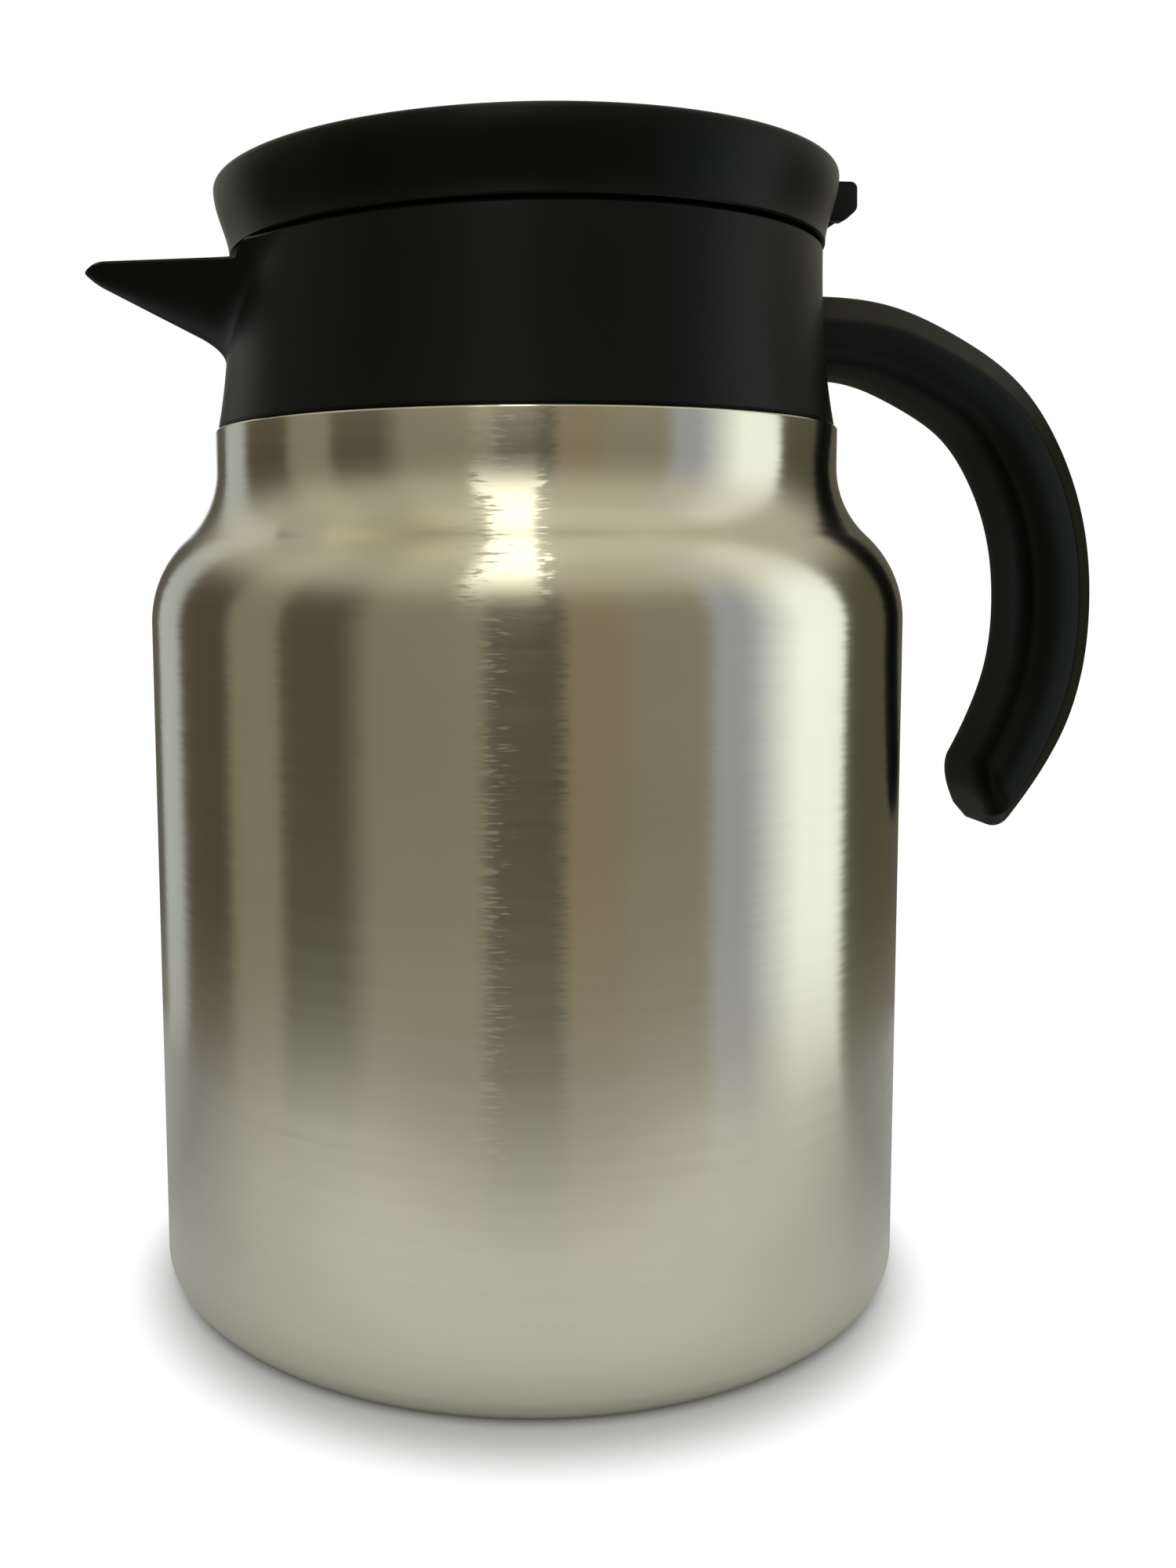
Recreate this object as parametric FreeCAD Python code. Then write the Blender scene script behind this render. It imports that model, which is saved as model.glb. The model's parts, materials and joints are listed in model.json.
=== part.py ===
"""Thermal carafe: double-walled steel body, black collar with a beak spout, open C handle and a hinged lid.

Millimetres. +Z is up and the axis of the body is Z, with the floor at Z = 0.
The spout points to -X and the handle to +X.
"""
import FreeCAD, Part
import math
import os
from FreeCAD import Vector

# Steel body
BODY_R = 65.0
BODY_FOOT_ROUND = 4.0
STEEL = 0.8
SHOULDER_Z = 112.6
SHOULDER_ROUND = 19.5
NECK_STEP = 11.3
NECK_ROUND = 16.0
NECK_HEIGHT = 6.43
NECK_EDGE = 0.8
SPIGOT_STEP = 4.1
SPIGOT_HEIGHT = 8.4
BEAD_HEIGHT = 5.0
BEAD = 0.7
BASE_RIM = 6.0
BASE_LIP = 3.6

# Inner flask and vacuum parts
VACUUM_GAP = 6.2
FLASK_STEEL = 0.7
FLASK_NECK_GAP = 1.6
FLASK_SHOULDER_DROP = 3.6
FLASK_SHOULDER_ROUND = 18.0
FLASK_NECK_ROUND = 16.0
FLASK_FLOOR_Z = 9.0
FLASK_FLOOR_ROUND = 10.0
PAD_THICK = 1.6
BASE_THICK = 1.0
DIMPLE_R = 6.0
DIMPLE = 1.4
PUMP_HOLE_R = 1.5
GETTER_X = 24.0
GETTER_R = 5.0
GETTER_THICK = 2.2
GETTER_WALL = 0.5

# Collar and spout
COLLAR_SETBACK = 0.5
COLLAR_TAPER = 2.3
COLLAR_WALL = 3.0
COLLAR_GAP = 0.25
COLLAR_HEIGHT = 28.75
RIM_SLOPE = 0.9
RIM_ROUND = 0.5
GASKET_THICK = 1.2
SPOUT_LENGTH = 23.7
SPOUT_DROP = 2.4
SPOUT_SILL = 1.5
SPOUT_HALF_WIDTH = 17.0
SPOUT_TIP_HALF_WIDTH = 2.4
SPOUT_TIP_DEPTH = 1.9
SPOUT_WALL = 2.0
SPOUT_BLEND = 9.0
SPOUT_FLARE = 2.6
SPOUT_KEEL_FLARE = 1.8
SPOUT_LIP_DIP = 1.4
SPOUT_LIP_ROUND = 0.5
NOTCH_SLANT = 5.5
NOTCH_ROUND = 2.2

# Mouth funnel
FUNNEL_WALL = 2.1
FUNNEL_RIM_DROP = 0.6
SEAT_STEP = 1.8
SEAT_WALL = 3.1
SEAT_WIDTH = 7.8
FUNNEL_SKIRT = 6.0
FUNNEL_SKIRT_WALL = 1.4

# Lid
LID_GAP = 0.6
LID_OVERHANG = 0.1
LID_HEIGHT = 12.0
LID_FLARE = 2.6
LID_ROUND = 1.8
LID_CROWN = 0.6
LID_WALL = 2.0
PLUG_OVERLAP = 3.0
PLUG_WALL = 2.0
PLUG_FLANGE = 2.0
PLUG_LIFT = 0.3
COVER_THICK = 2.0
COVER_DROP = 1.0
COVER_SPIGOT = 3.4
SEAL_OUT = 1.7
SEAL_THICK = 3.2
SEAL_GAP = 0.15
LID_SCREW_INSET = 5.1
LID_SCREW_COUNT = 3
LID_BOSS_R = 2.6
SCREW_R = 1.3
SCREW_HEAD_R = 2.3
SCREW_HEAD = 1.2
SCREW_CROSS = 0.7
LID_SCREW_LENGTH = 8.0

# Hinge
PIN_BACK = 0.6
PIN_DROP = 2.3
PIN_R = 1.25
KNUCKLE_R = 3.3
KNUCKLE_OUT = 3.6
KNUCKLE_HALF = 9.5
KNUCKLE_BEND = 2.5
KNUCKLE_LEAN = 0.4
KNUCKLE_LIP = 0.6
POST_HALF = 5.5
POST_WALL = 3.0
POST_RISE = 4.5

# Handle
HANDLE_THICK = 13.2
HANDLE_WIDTH = 22.0
HANDLE_ROUND = 5.6
HANDLE_WALL = 2.6
HANDLE_SEAM = 0.4
HANDLE_BELOW_RIM = 11.4
FINGER_GAP = 27.2
HANDLE_DROP = 47.6
HANDLE_FALL = 43.0
HANDLE_CURL = 13.8
HANDLE_CUT_LEAN = 14.0
HANDLE_END_ROUND = 2.8
HANDLE_SCREW_Y = 5.0
HANDLE_SCREW_R = 1.6
HANDLE_SCREW_HEAD_R = 3.1
HANDLE_SCREW_HEAD = 1.8
HANDLE_SCREW_SINK = 0.65
HANDLE_SCREW_LENGTH = 15.0

# Clearances
FIT = 0.05
SLIP = 0.15
RUN = 0.05
SWING = 0.4
OVER = 1.0

# Radii and heights that follow from these
NECK_R = BODY_R - NECK_STEP
NECK_TURN = math.acos(1 - NECK_STEP / (SHOULDER_ROUND + NECK_ROUND))
NECK_TOP_Z = SHOULDER_Z + (SHOULDER_ROUND + NECK_ROUND) * math.sin(NECK_TURN) + NECK_HEIGHT
SPIGOT_R = NECK_R - SPIGOT_STEP
SPIGOT_Z = NECK_TOP_Z + SPIGOT_HEIGHT
BEAD_Z = NECK_TOP_Z + BEAD_HEIGHT
RIM_IN_R = BODY_R - BODY_FOOT_ROUND - BASE_RIM
BASE_IN_R = RIM_IN_R - STEEL
FLASK_R = BODY_R - STEEL - VACUUM_GAP
FLASK_NECK_R = SPIGOT_R - STEEL - FLASK_NECK_GAP
FLASK_SHOULDER_Z = SHOULDER_Z - FLASK_SHOULDER_DROP
COLLAR_FOOT_R = NECK_R - COLLAR_SETBACK
COLLAR_TOP_R = COLLAR_FOOT_R - COLLAR_TAPER
COLLAR_BORE_R = COLLAR_TOP_R - COLLAR_WALL
COLLAR_Z = NECK_TOP_Z + COLLAR_GAP
RIM_Z = COLLAR_Z + COLLAR_HEIGHT
GASKET_Z = SPIGOT_Z + FLASK_STEEL
STEP_Z = GASKET_Z + GASKET_THICK
SOCKET_R = SPIGOT_R + SLIP
SEAT_Z = STEP_Z + SEAT_STEP
SEAT_OUT_R = COLLAR_BORE_R - SEAT_WALL
SEAT_IN_R = SEAT_OUT_R - SEAT_WIDTH
SPOUT_TIP_X = COLLAR_TOP_R + SPOUT_LENGTH
SPOUT_TOP_Z = RIM_Z - SPOUT_DROP
SPOUT_DEPTH = SPOUT_TOP_Z - SEAT_Z - SPOUT_SILL + SPOUT_WALL
LID_EDGE_Z = RIM_Z + LID_GAP
LID_EDGE_R = COLLAR_TOP_R + LID_OVERHANG
LID_TOP_Z = LID_EDGE_Z + LID_HEIGHT
LID_TOP_R = LID_EDGE_R + LID_FLARE
LID_BORE_R = LID_EDGE_R - LID_WALL
LID_SCREW_R = LID_EDGE_R - LID_SCREW_INSET
CEILING_Z = LID_TOP_Z - LID_WALL
FLANGE_Z = LID_EDGE_Z + PLUG_LIFT
FLANGE_TOP_Z = FLANGE_Z + PLUG_FLANGE
PLUG_R = SEAT_IN_R + PLUG_OVERLAP
PLUG_BORE_R = PLUG_R - PLUG_WALL
SEAL_Z = SEAT_Z + SEAL_GAP
SEAL_TOP_Z = SEAL_Z + SEAL_THICK
COVER_TOP_Z = SEAL_TOP_Z - COVER_DROP
PIN_X = LID_TOP_R + PIN_BACK
PIN_Z = LID_TOP_Z - PIN_DROP
POST_TOP_Z = RIM_Z + POST_RISE
POCKET_IN_X = COLLAR_TOP_R - POST_WALL - SWING - LID_WALL
HANDLE_HALF = HANDLE_THICK / 2
HANDLE_ROOT_Z = RIM_Z - HANDLE_BELOW_RIM
HANDLE_REACH = BODY_R + FINGER_GAP + HANDLE_HALF
HANDLE_BULGE_Z = HANDLE_ROOT_Z - HANDLE_DROP
HANDLE_END_Z = HANDLE_BULGE_Z - HANDLE_FALL
HANDLE_END_X = HANDLE_REACH - HANDLE_CURL

Z_AXIS = Vector(0, 0, 1)
ORIGIN = Vector(0, 0, 0)


def at(r, z, y=0.0):
    return Vector(r, y, z)


def turned(path):
    """Closed outline in radius and height, turned a full round.

    An item of two points is an arc through the first.
    """
    edges = []
    here = at(*path[0])
    for item in list(path[1:]) + [path[0]]:
        if isinstance(item[0], tuple):
            middle, end = at(*item[0]), at(*item[1])
            edges.append(Part.Arc(here, middle, end).toShape())
        else:
            end = at(*item)
            edges.append(Part.makeLine(here, end))
        here = end
    return Part.Face(Part.Wire(edges)).revolve(ORIGIN, Z_AXIS, 360)


def tube(r_in, r_out, z_low, z_high):
    return turned([(r_in, z_low), (r_out, z_low), (r_out, z_high), (r_in, z_high)])


def rod(r, z_low, z_high, x=0.0, y=0.0):
    return Part.makeCylinder(r, z_high - z_low, Vector(x, y, z_low))


def slab(x_low, x_high, half_y, z_low, z_high):
    return Part.makeBox(x_high - x_low, 2 * half_y, z_high - z_low, Vector(x_low, -half_y, z_low))


def sloped(shape):
    """The rim falls towards the spout, and the lid lies on it."""
    turned_shape = shape.copy()
    turned_shape.rotate(at(0, RIM_Z), Vector(0, 1, 0), -RIM_SLOPE)
    return turned_shape


def above(z):
    """Everything over a height measured on the sloped rim."""
    size = 4 * BODY_R
    return sloped(Part.makeBox(size, size, size, Vector(-size / 2, -size / 2, z)))


def shoulder(r_body, z_body, body_round, r_neck, neck_round, inset):
    """The two arcs from body to neck, upwards, for a surface set in by inset."""
    turn = math.acos(1 - (r_body - r_neck) / (body_round + neck_round))
    z_neck = z_body + (body_round + neck_round) * math.sin(turn)
    low, high = body_round - inset, neck_round + inset
    c_low, c_high = r_body - body_round, r_neck + neck_round

    def on_low(share):
        return (c_low + low * math.cos(turn * share), z_body + low * math.sin(turn * share))

    def on_high(share):
        return (c_high - high * math.cos(turn * share), z_neck - high * math.sin(turn * share))

    return [on_low(0), (on_low(0.5), on_low(1)), (on_high(0.5), on_high(0))]


def reverse(path):
    """The same lines and arcs, walked the other way."""
    ends = [item[1] if isinstance(item[0], tuple) else item for item in path]
    out = [ends[-1]]
    for i in range(len(path) - 1, 0, -1):
        out.append((path[i][0], ends[i - 1]) if isinstance(path[i][0], tuple) else ends[i - 1])
    return out


def corner(r, z, size, quadrant):
    """The point at the given angle on a corner round of that size about (r, z)."""
    mid = math.radians(quadrant)
    return (r + size * math.cos(mid), z + size * math.sin(mid))


# Steel body and vacuum parts

def outer_shell():
    foot_in = BODY_FOOT_ROUND - STEEL
    foot_c = BODY_R - BODY_FOOT_ROUND
    outer = [(RIM_IN_R, 0), (foot_c, 0),
             (corner(foot_c, BODY_FOOT_ROUND, BODY_FOOT_ROUND, -45), (BODY_R, BODY_FOOT_ROUND))]
    outer += shoulder(BODY_R, SHOULDER_Z, SHOULDER_ROUND, NECK_R, NECK_ROUND, 0)
    edge_c = NECK_R - NECK_EDGE
    outer += [(NECK_R, NECK_TOP_Z - NECK_EDGE),
              (corner(edge_c, NECK_TOP_Z - NECK_EDGE, NECK_EDGE, 45), (edge_c, NECK_TOP_Z)),
              (SPIGOT_R, NECK_TOP_Z), (SPIGOT_R, BEAD_Z - BEAD),
              ((SPIGOT_R + BEAD, BEAD_Z), (SPIGOT_R, BEAD_Z + BEAD)), (SPIGOT_R, SPIGOT_Z)]
    inner = [(BASE_IN_R, BASE_LIP), (RIM_IN_R, BASE_LIP), (RIM_IN_R, STEEL), (foot_c, STEEL),
             (corner(foot_c, BODY_FOOT_ROUND, foot_in, -45), (BODY_R - STEEL, BODY_FOOT_ROUND))]
    inner += shoulder(BODY_R, SHOULDER_Z, SHOULDER_ROUND, NECK_R, NECK_ROUND, STEEL)
    inner += [(NECK_R - STEEL, NECK_TOP_Z - STEEL), (SPIGOT_R - STEEL, NECK_TOP_Z - STEEL),
              (SPIGOT_R - STEEL, SPIGOT_Z)]
    return turned([(BASE_IN_R, 0)] + outer + reverse(inner))


def inner_flask():
    t = FLASK_STEEL
    floor_c = FLASK_R - FLASK_FLOOR_ROUND
    floor_z = FLASK_FLOOR_Z + FLASK_FLOOR_ROUND

    def wall(inset):
        size = FLASK_FLOOR_ROUND - inset
        path = [(0, FLASK_FLOOR_Z + inset), (floor_c, FLASK_FLOOR_Z + inset),
                (corner(floor_c, floor_z, size, -45), (FLASK_R - inset, floor_z))]
        return path + shoulder(FLASK_R, FLASK_SHOULDER_Z, FLASK_SHOULDER_ROUND,
                               FLASK_NECK_R, FLASK_NECK_ROUND, inset)

    lip_z = SPIGOT_Z + t
    lip = [(FLASK_NECK_R, SPIGOT_Z), (SPIGOT_R, SPIGOT_Z), (SPIGOT_R, lip_z), (FLASK_NECK_R - t, lip_z)]
    return turned(wall(0) + lip + reverse(wall(t)))


def base_plate():
    plate = rod(BASE_IN_R - FIT, PAD_THICK, PAD_THICK + BASE_THICK)
    hill = rod(DIMPLE_R + BASE_THICK, PAD_THICK, PAD_THICK + BASE_THICK + DIMPLE)
    dimple = rod(DIMPLE_R, PAD_THICK, PAD_THICK + DIMPLE)
    hole = rod(PUMP_HOLE_R, PAD_THICK, PAD_THICK + BASE_THICK + DIMPLE + OVER)
    return plate.fuse(hill).cut(dimple).cut(hole).removeSplitter()


def evacuation_seal():
    bead = rod(DIMPLE_R - SLIP, PAD_THICK, PAD_THICK + DIMPLE)
    stem = rod(PUMP_HOLE_R - FIT, PAD_THICK, PAD_THICK + BASE_THICK + DIMPLE)
    return bead.fuse(stem).removeSplitter()


def base_pad():
    return rod(BASE_IN_R - SLIP, 0, PAD_THICK)


def getter_cup():
    top = FLASK_FLOOR_Z
    low = top - GETTER_THICK - 2 * SLIP
    cup = rod(GETTER_R + SLIP + GETTER_WALL, low, top, GETTER_X)
    return cup.cut(rod(GETTER_R + SLIP, low + GETTER_WALL - OVER, top - GETTER_WALL, GETTER_X))


def getter_pellet():
    top = FLASK_FLOOR_Z - GETTER_WALL
    return rod(GETTER_R, top - GETTER_THICK + GETTER_WALL, top, GETTER_X)


# Collar

def collar_outside(grow=0.0):
    """The waisted outside of the collar, as a full solid taller than the rim."""
    top = LID_TOP_Z
    rise = RIM_Z + 2 * OVER - COLLAR_Z
    curve = Part.BSplineCurve()
    narrowing = ((0.0, 1.0), (0.16, 0.62), (0.34, 0.36), (0.62, 0.1), (1.0, 0.0))
    curve.interpolate([at(COLLAR_TOP_R + (COLLAR_FOOT_R - COLLAR_TOP_R) * wide + grow, COLLAR_Z + rise * up)
                       for up, wide in narrowing])
    foot, head = curve.StartPoint, curve.EndPoint
    edges = [Part.makeLine(at(0, COLLAR_Z), foot), curve.toShape(),
             Part.makeLine(head, at(head.x, top)), Part.makeLine(at(head.x, top), at(0, top)),
             Part.makeLine(at(0, top), at(0, COLLAR_Z))]
    return Part.Face(Part.Wire(edges)).revolve(ORIGIN, Z_AXIS, 360)


def spout_solid(inset, start):
    """The beak as a loft of rounded V sections from inside the collar to the tip, set in by inset.

    It flares where it leaves the collar, and its lip dips at the tip.
    """
    root = COLLAR_TOP_R
    length = SPOUT_TIP_X - root
    stations = (0.1, 0.22, 0.4, 0.65, 0.86, 0.95)
    places = [start, root - SPOUT_WALL / 2] + [root + length * share for share in stations]
    flank = ((1.0, 0.0), (0.84, 0.28), (0.5, 0.7), (0.0, 1.0), (-0.5, 0.7), (-0.84, 0.28), (-1.0, 0.0))
    wires = []
    for place in places + [SPOUT_TIP_X]:
        out = (place - root) / length
        spread = max(0.0, 1 - (place - root) / SPOUT_BLEND) ** 2
        nose = max(0.0, (out - 0.8) / 0.2) ** 2
        half = SPOUT_HALF_WIDTH * (1 - out) + SPOUT_TIP_HALF_WIDTH * (out - nose / 2) + SPOUT_FLARE * spread
        depth = SPOUT_DEPTH * (1 - out) + SPOUT_TIP_DEPTH * (out - nose / 2) + SPOUT_KEEL_FLARE * spread
        half = max(half - inset, SPOUT_TIP_HALF_WIDTH / 4)
        depth = max(depth - inset, SPOUT_TIP_DEPTH / 4)
        top = SPOUT_TOP_Z - SPOUT_LIP_ROUND - SPOUT_LIP_DIP * nose
        x = place - inset * max(0.0, out) if inset else place
        curve = Part.BSplineCurve()
        curve.interpolate([Vector(-x, half * wide, top - depth * down) for wide, down in flank])
        left, right = curve.EndPoint, curve.StartPoint
        up = Vector(0, 0, 2 * SPOUT_WALL if inset else SPOUT_LIP_ROUND)
        top_edges = Part.makePolygon([left, left + up, right + up, right]).Edges
        wires.append(Part.Wire([curve.toShape()] + top_edges))
    return Part.makeLoft(wires, True, False)


def spout_gap():
    """Opening over the beak through the collar wall, wider at the rim, with rounded lower corners."""
    low, high = SPOUT_TOP_Z, LID_TOP_Z
    half_low = SPOUT_HALF_WIDTH
    half_high = half_low + NOTCH_SLANT * (high - low) / SPOUT_DROP
    x = -COLLAR_TOP_R - 2 * OVER
    outline = [Vector(x, -half_low, low), Vector(x, half_low, low),
               Vector(x, half_high, high), Vector(x, -half_high, high)]
    block = Part.Face(Part.makePolygon(outline + outline[:1])).extrude(Vector(COLLAR_TOP_R, 0, 0))
    low_edges = [e for e in block.Edges if e.BoundBox.ZMax < low + 1e-6 and e.BoundBox.YLength < 1e-6]
    return block.makeFillet(NOTCH_ROUND, low_edges)


def hinge_post():
    """Upright at the back that carries the pin, from the collar wall out to the knuckle."""
    low = RIM_Z - POST_WALL
    knuckle = Part.makeCylinder(KNUCKLE_R, 2 * POST_HALF, Vector(PIN_X, -POST_HALF, PIN_Z), Vector(0, 1, 0))
    x_in = COLLAR_TOP_R - POST_WALL
    x_out = COLLAR_TOP_R - SLIP
    y = -POST_HALF
    outline = [at(x_in, low, y), at(x_out, low, y), at(x_out, POST_TOP_Z, y),
               at(PIN_X + KNUCKLE_R * 0.8, PIN_Z - KNUCKLE_R * 0.6, y), at(PIN_X, PIN_Z, y),
               at(PIN_X - KNUCKLE_R * 0.95, PIN_Z + KNUCKLE_R * 0.31, y), at(x_in, POST_TOP_Z, y)]
    arm = Part.Face(Part.makePolygon(outline + outline[:1])).extrude(Vector(0, 2 * POST_HALF, 0))
    bore = Part.makeCylinder(PIN_R + RUN, 2 * POST_HALF + 2 * OVER,
                             Vector(PIN_X, -POST_HALF - OVER, PIN_Z), Vector(0, 1, 0))
    return sloped(knuckle.fuse(arm).cut(bore).removeSplitter())


def handle_holes(r_shank):
    """Two screws through the back wall, along X: the shanks and their countersunk heads."""
    out = []
    for side in (-1, 1):
        y = side * HANDLE_SCREW_Y
        start = Vector(COLLAR_BORE_R - OVER, y, HANDLE_ROOT_Z)
        out.append(Part.makeCylinder(r_shank, HANDLE_SCREW_LENGTH + OVER, start, Vector(1, 0, 0)))
    return out


def spout_collar():
    body = collar_outside().cut(above(RIM_Z)).Solids[0]
    rim = [e for e in body.Edges if e.BoundBox.ZMin > COLLAR_Z + OVER]
    body = body.makeFillet(RIM_ROUND, rim)
    body = body.fuse(spout_solid(0, COLLAR_BORE_R)).removeSplitter()
    socket = rod(SOCKET_R, COLLAR_Z - OVER, STEP_Z)
    bore = rod(COLLAR_BORE_R, STEP_Z - OVER, LID_TOP_Z + OVER)
    body = body.cut(socket).cut(bore)
    low, high = BEAD_Z - BEAD - SLIP, BEAD_Z + BEAD + SLIP
    groove = turned([(SOCKET_R - OVER, low), (SOCKET_R, low),
                     ((SOCKET_R + BEAD, BEAD_Z), (SOCKET_R, high)), (SOCKET_R - OVER, high)])
    body = body.cut(groove)
    body = body.cut(spout_solid(SPOUT_WALL, SEAT_OUT_R)).cut(spout_gap())
    body = body.fuse(hinge_post()).removeSplitter()
    for shank in handle_holes(HANDLE_SCREW_R + SLIP):
        body = body.cut(shank)
    for head in countersinks(SLIP):
        body = body.cut(head)
    return body


def countersinks(grow):
    """The cones of the two screw heads, sunk into the bore of the collar."""
    edge_y = HANDLE_SCREW_Y + HANDLE_SCREW_HEAD_R
    x = math.sqrt(COLLAR_BORE_R ** 2 - edge_y ** 2) + HANDLE_SCREW_SINK
    return [Part.makeCone(HANDLE_SCREW_HEAD_R + grow, HANDLE_SCREW_R + grow, HANDLE_SCREW_HEAD,
                          Vector(x, side * HANDLE_SCREW_Y, HANDLE_ROOT_Z), Vector(1, 0, 0))
            for side in (-1, 1)]


def handle_screws():
    screws = []
    for head, shank in zip(countersinks(0), handle_holes(HANDLE_SCREW_R)):
        x = head.BoundBox.XMin
        bar = shank.common(slab(x, x + HANDLE_SCREW_LENGTH, BODY_R, 0, LID_TOP_Z))
        screws.append(head.fuse(bar).removeSplitter())
    return Part.makeCompound(screws)


def neck_gasket():
    return tube(FLASK_NECK_R - FLASK_STEEL + SLIP, SPIGOT_R - SLIP, GASKET_Z, STEP_Z)


def mouth_funnel():
    r_out = COLLAR_BORE_R - SLIP
    skirt_r = FLASK_NECK_R - FLASK_STEEL - SLIP
    block = rod(r_out, STEP_Z, LID_TOP_Z).fuse(rod(skirt_r, STEP_Z - FUNNEL_SKIRT, STEP_Z)).removeSplitter()
    r_mouth, high = r_out - FUNNEL_WALL, LID_TOP_Z + 2 * OVER
    mouth = sloped(turned([(0, SEAT_Z), (SEAT_OUT_R, SEAT_Z), (r_mouth, RIM_Z), (r_mouth, high), (0, high)]))
    throat = rod(SEAT_IN_R, STEP_Z - FUNNEL_SKIRT - OVER, LID_TOP_Z)
    skirt_bore = rod(skirt_r - FUNNEL_SKIRT_WALL, STEP_Z - FUNNEL_SKIRT - OVER, STEP_Z)
    body = block.cut(mouth).cut(throat).cut(skirt_bore).cut(above(RIM_Z - FUNNEL_RIM_DROP))
    body = body.cut(spout_solid(SPOUT_WALL, SEAT_OUT_R - OVER)).cut(spout_gap())
    return body


# Lid, in the frame of the sloped rim

def lid_flare(inset, top_z):
    """The lid's outside or inside: a concave flare from the lower edge to the top edge."""
    curve = Part.BSplineCurve()
    rise = top_z - LID_EDGE_Z
    flare = ((0.0, 0.0), (0.3, 0.2), (0.65, 0.66), (1.0, 1.0))
    curve.interpolate([at(LID_EDGE_R - inset + LID_FLARE * wide, LID_EDGE_Z + rise * up)
                       for up, wide in flare])
    return curve


def lid_blank():
    """The full outside of the lid, before hollowing."""
    flare = lid_flare(0, LID_TOP_Z - LID_ROUND)
    low, high = flare.StartPoint, flare.EndPoint
    edge_c = at(LID_TOP_R - LID_ROUND, LID_TOP_Z - LID_ROUND)
    half = LID_ROUND * math.sqrt(0.5)
    top_edge = edge_c + Vector(0, 0, LID_ROUND)
    crown = at(0, LID_TOP_Z + LID_CROWN)
    edges = [Part.makeLine(at(0, LID_EDGE_Z), low), flare.toShape(),
             Part.Arc(high, edge_c + Vector(half, 0, half), top_edge).toShape(),
             Part.makeLine(top_edge, crown), Part.makeLine(crown, at(0, LID_EDGE_Z))]
    return Part.Face(Part.Wire(edges)).revolve(ORIGIN, Z_AXIS, 360)


def lid_hollow():
    flare = lid_flare(LID_WALL, CEILING_Z)
    low, high = flare.StartPoint, flare.EndPoint
    drop = at(low.x, LID_EDGE_Z - OVER)
    edges = [Part.makeLine(at(0, LID_EDGE_Z - OVER), drop), Part.makeLine(drop, low), flare.toShape(),
             Part.makeLine(high, at(0, CEILING_Z)),
             Part.makeLine(at(0, CEILING_Z), at(0, LID_EDGE_Z - OVER))]
    return Part.Face(Part.Wire(edges)).revolve(ORIGIN, Z_AXIS, 360)


def post_room():
    """Room for the post in the lid over the whole swing, open to the back and below."""
    half = POST_HALF + SWING
    x_in = POCKET_IN_X + LID_WALL
    far = PIN_X + 4 * KNUCKLE_R
    room = KNUCKLE_R + SWING
    round_room = Part.makeCylinder(room, 2 * half, Vector(PIN_X, -half, PIN_Z), Vector(0, 1, 0))
    outline = [at(PIN_X - room, PIN_Z, -half), at(x_in, POST_TOP_Z, -half), at(x_in, RIM_Z - OVER, -half),
               at(far, RIM_Z - OVER, -half), at(far, PIN_Z + room, -half), at(PIN_X, PIN_Z + room, -half)]
    wedge = Part.Face(Part.makePolygon(outline + outline[:1])).extrude(Vector(0, 2 * half, 0))
    return round_room.fuse(wedge)


def knuckle_block():
    """The block behind the lid: level top, rounded back and a lip that slopes down to the lid wall."""
    x_out = PIN_X + KNUCKLE_OUT
    x_in = LID_TOP_R - LID_WALL
    top = PIN_Z + KNUCKLE_R
    low = PIN_Z - KNUCKLE_R
    y = -KNUCKLE_HALF
    bend = KNUCKLE_BEND
    c = at(x_out - bend, top - bend, y)
    mid = c + Vector(bend * math.sqrt(0.5), 0, bend * math.sqrt(0.5))
    lip_out = at(x_out - KNUCKLE_LEAN, low + KNUCKLE_LIP, y)
    lip_in = at(LID_EDGE_R, low - KNUCKLE_LIP, y)
    edges = [Part.makeLine(at(x_in, top, y), at(x_out - bend, top, y)),
             Part.Arc(at(x_out - bend, top, y), mid, at(x_out, top - bend, y)).toShape(),
             Part.makeLine(at(x_out, top - bend, y), lip_out),
             Part.makeLine(lip_out, lip_in), Part.makeLine(lip_in, at(x_in, top, y))]
    return Part.Face(Part.Wire(edges)).extrude(Vector(0, 2 * KNUCKLE_HALF, 0))


def lid_screw_places():
    turns = [math.pi + 2 * math.pi * i / LID_SCREW_COUNT for i in range(LID_SCREW_COUNT)]
    return [(LID_SCREW_R * math.cos(turn), LID_SCREW_R * math.sin(turn)) for turn in turns]


def lid_cap():
    shell = lid_blank().cut(lid_hollow())
    pocket = slab(POCKET_IN_X, LID_TOP_R, POST_HALF + SWING + LID_WALL, LID_EDGE_Z, LID_TOP_Z - LID_WALL / 2)
    pocket = pocket.common(lid_blank())
    shell = shell.fuse(pocket).fuse(knuckle_block())
    for x, y in lid_screw_places():
        shell = shell.fuse(rod(LID_BOSS_R, FLANGE_TOP_Z, CEILING_Z + LID_WALL / 2, x, y))
    shell = shell.removeSplitter().cut(post_room())
    pin_hole = Part.makeCylinder(PIN_R + FIT, 2 * KNUCKLE_HALF + 2 * OVER,
                                 Vector(PIN_X, -KNUCKLE_HALF - OVER, PIN_Z), Vector(0, 1, 0))
    shell = shell.cut(pin_hole)
    for x, y in lid_screw_places():
        shell = shell.cut(rod(SCREW_R + FIT, FLANGE_TOP_Z - OVER, FLANGE_Z + LID_SCREW_LENGTH + SLIP, x, y))
    return sloped(shell)


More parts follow.
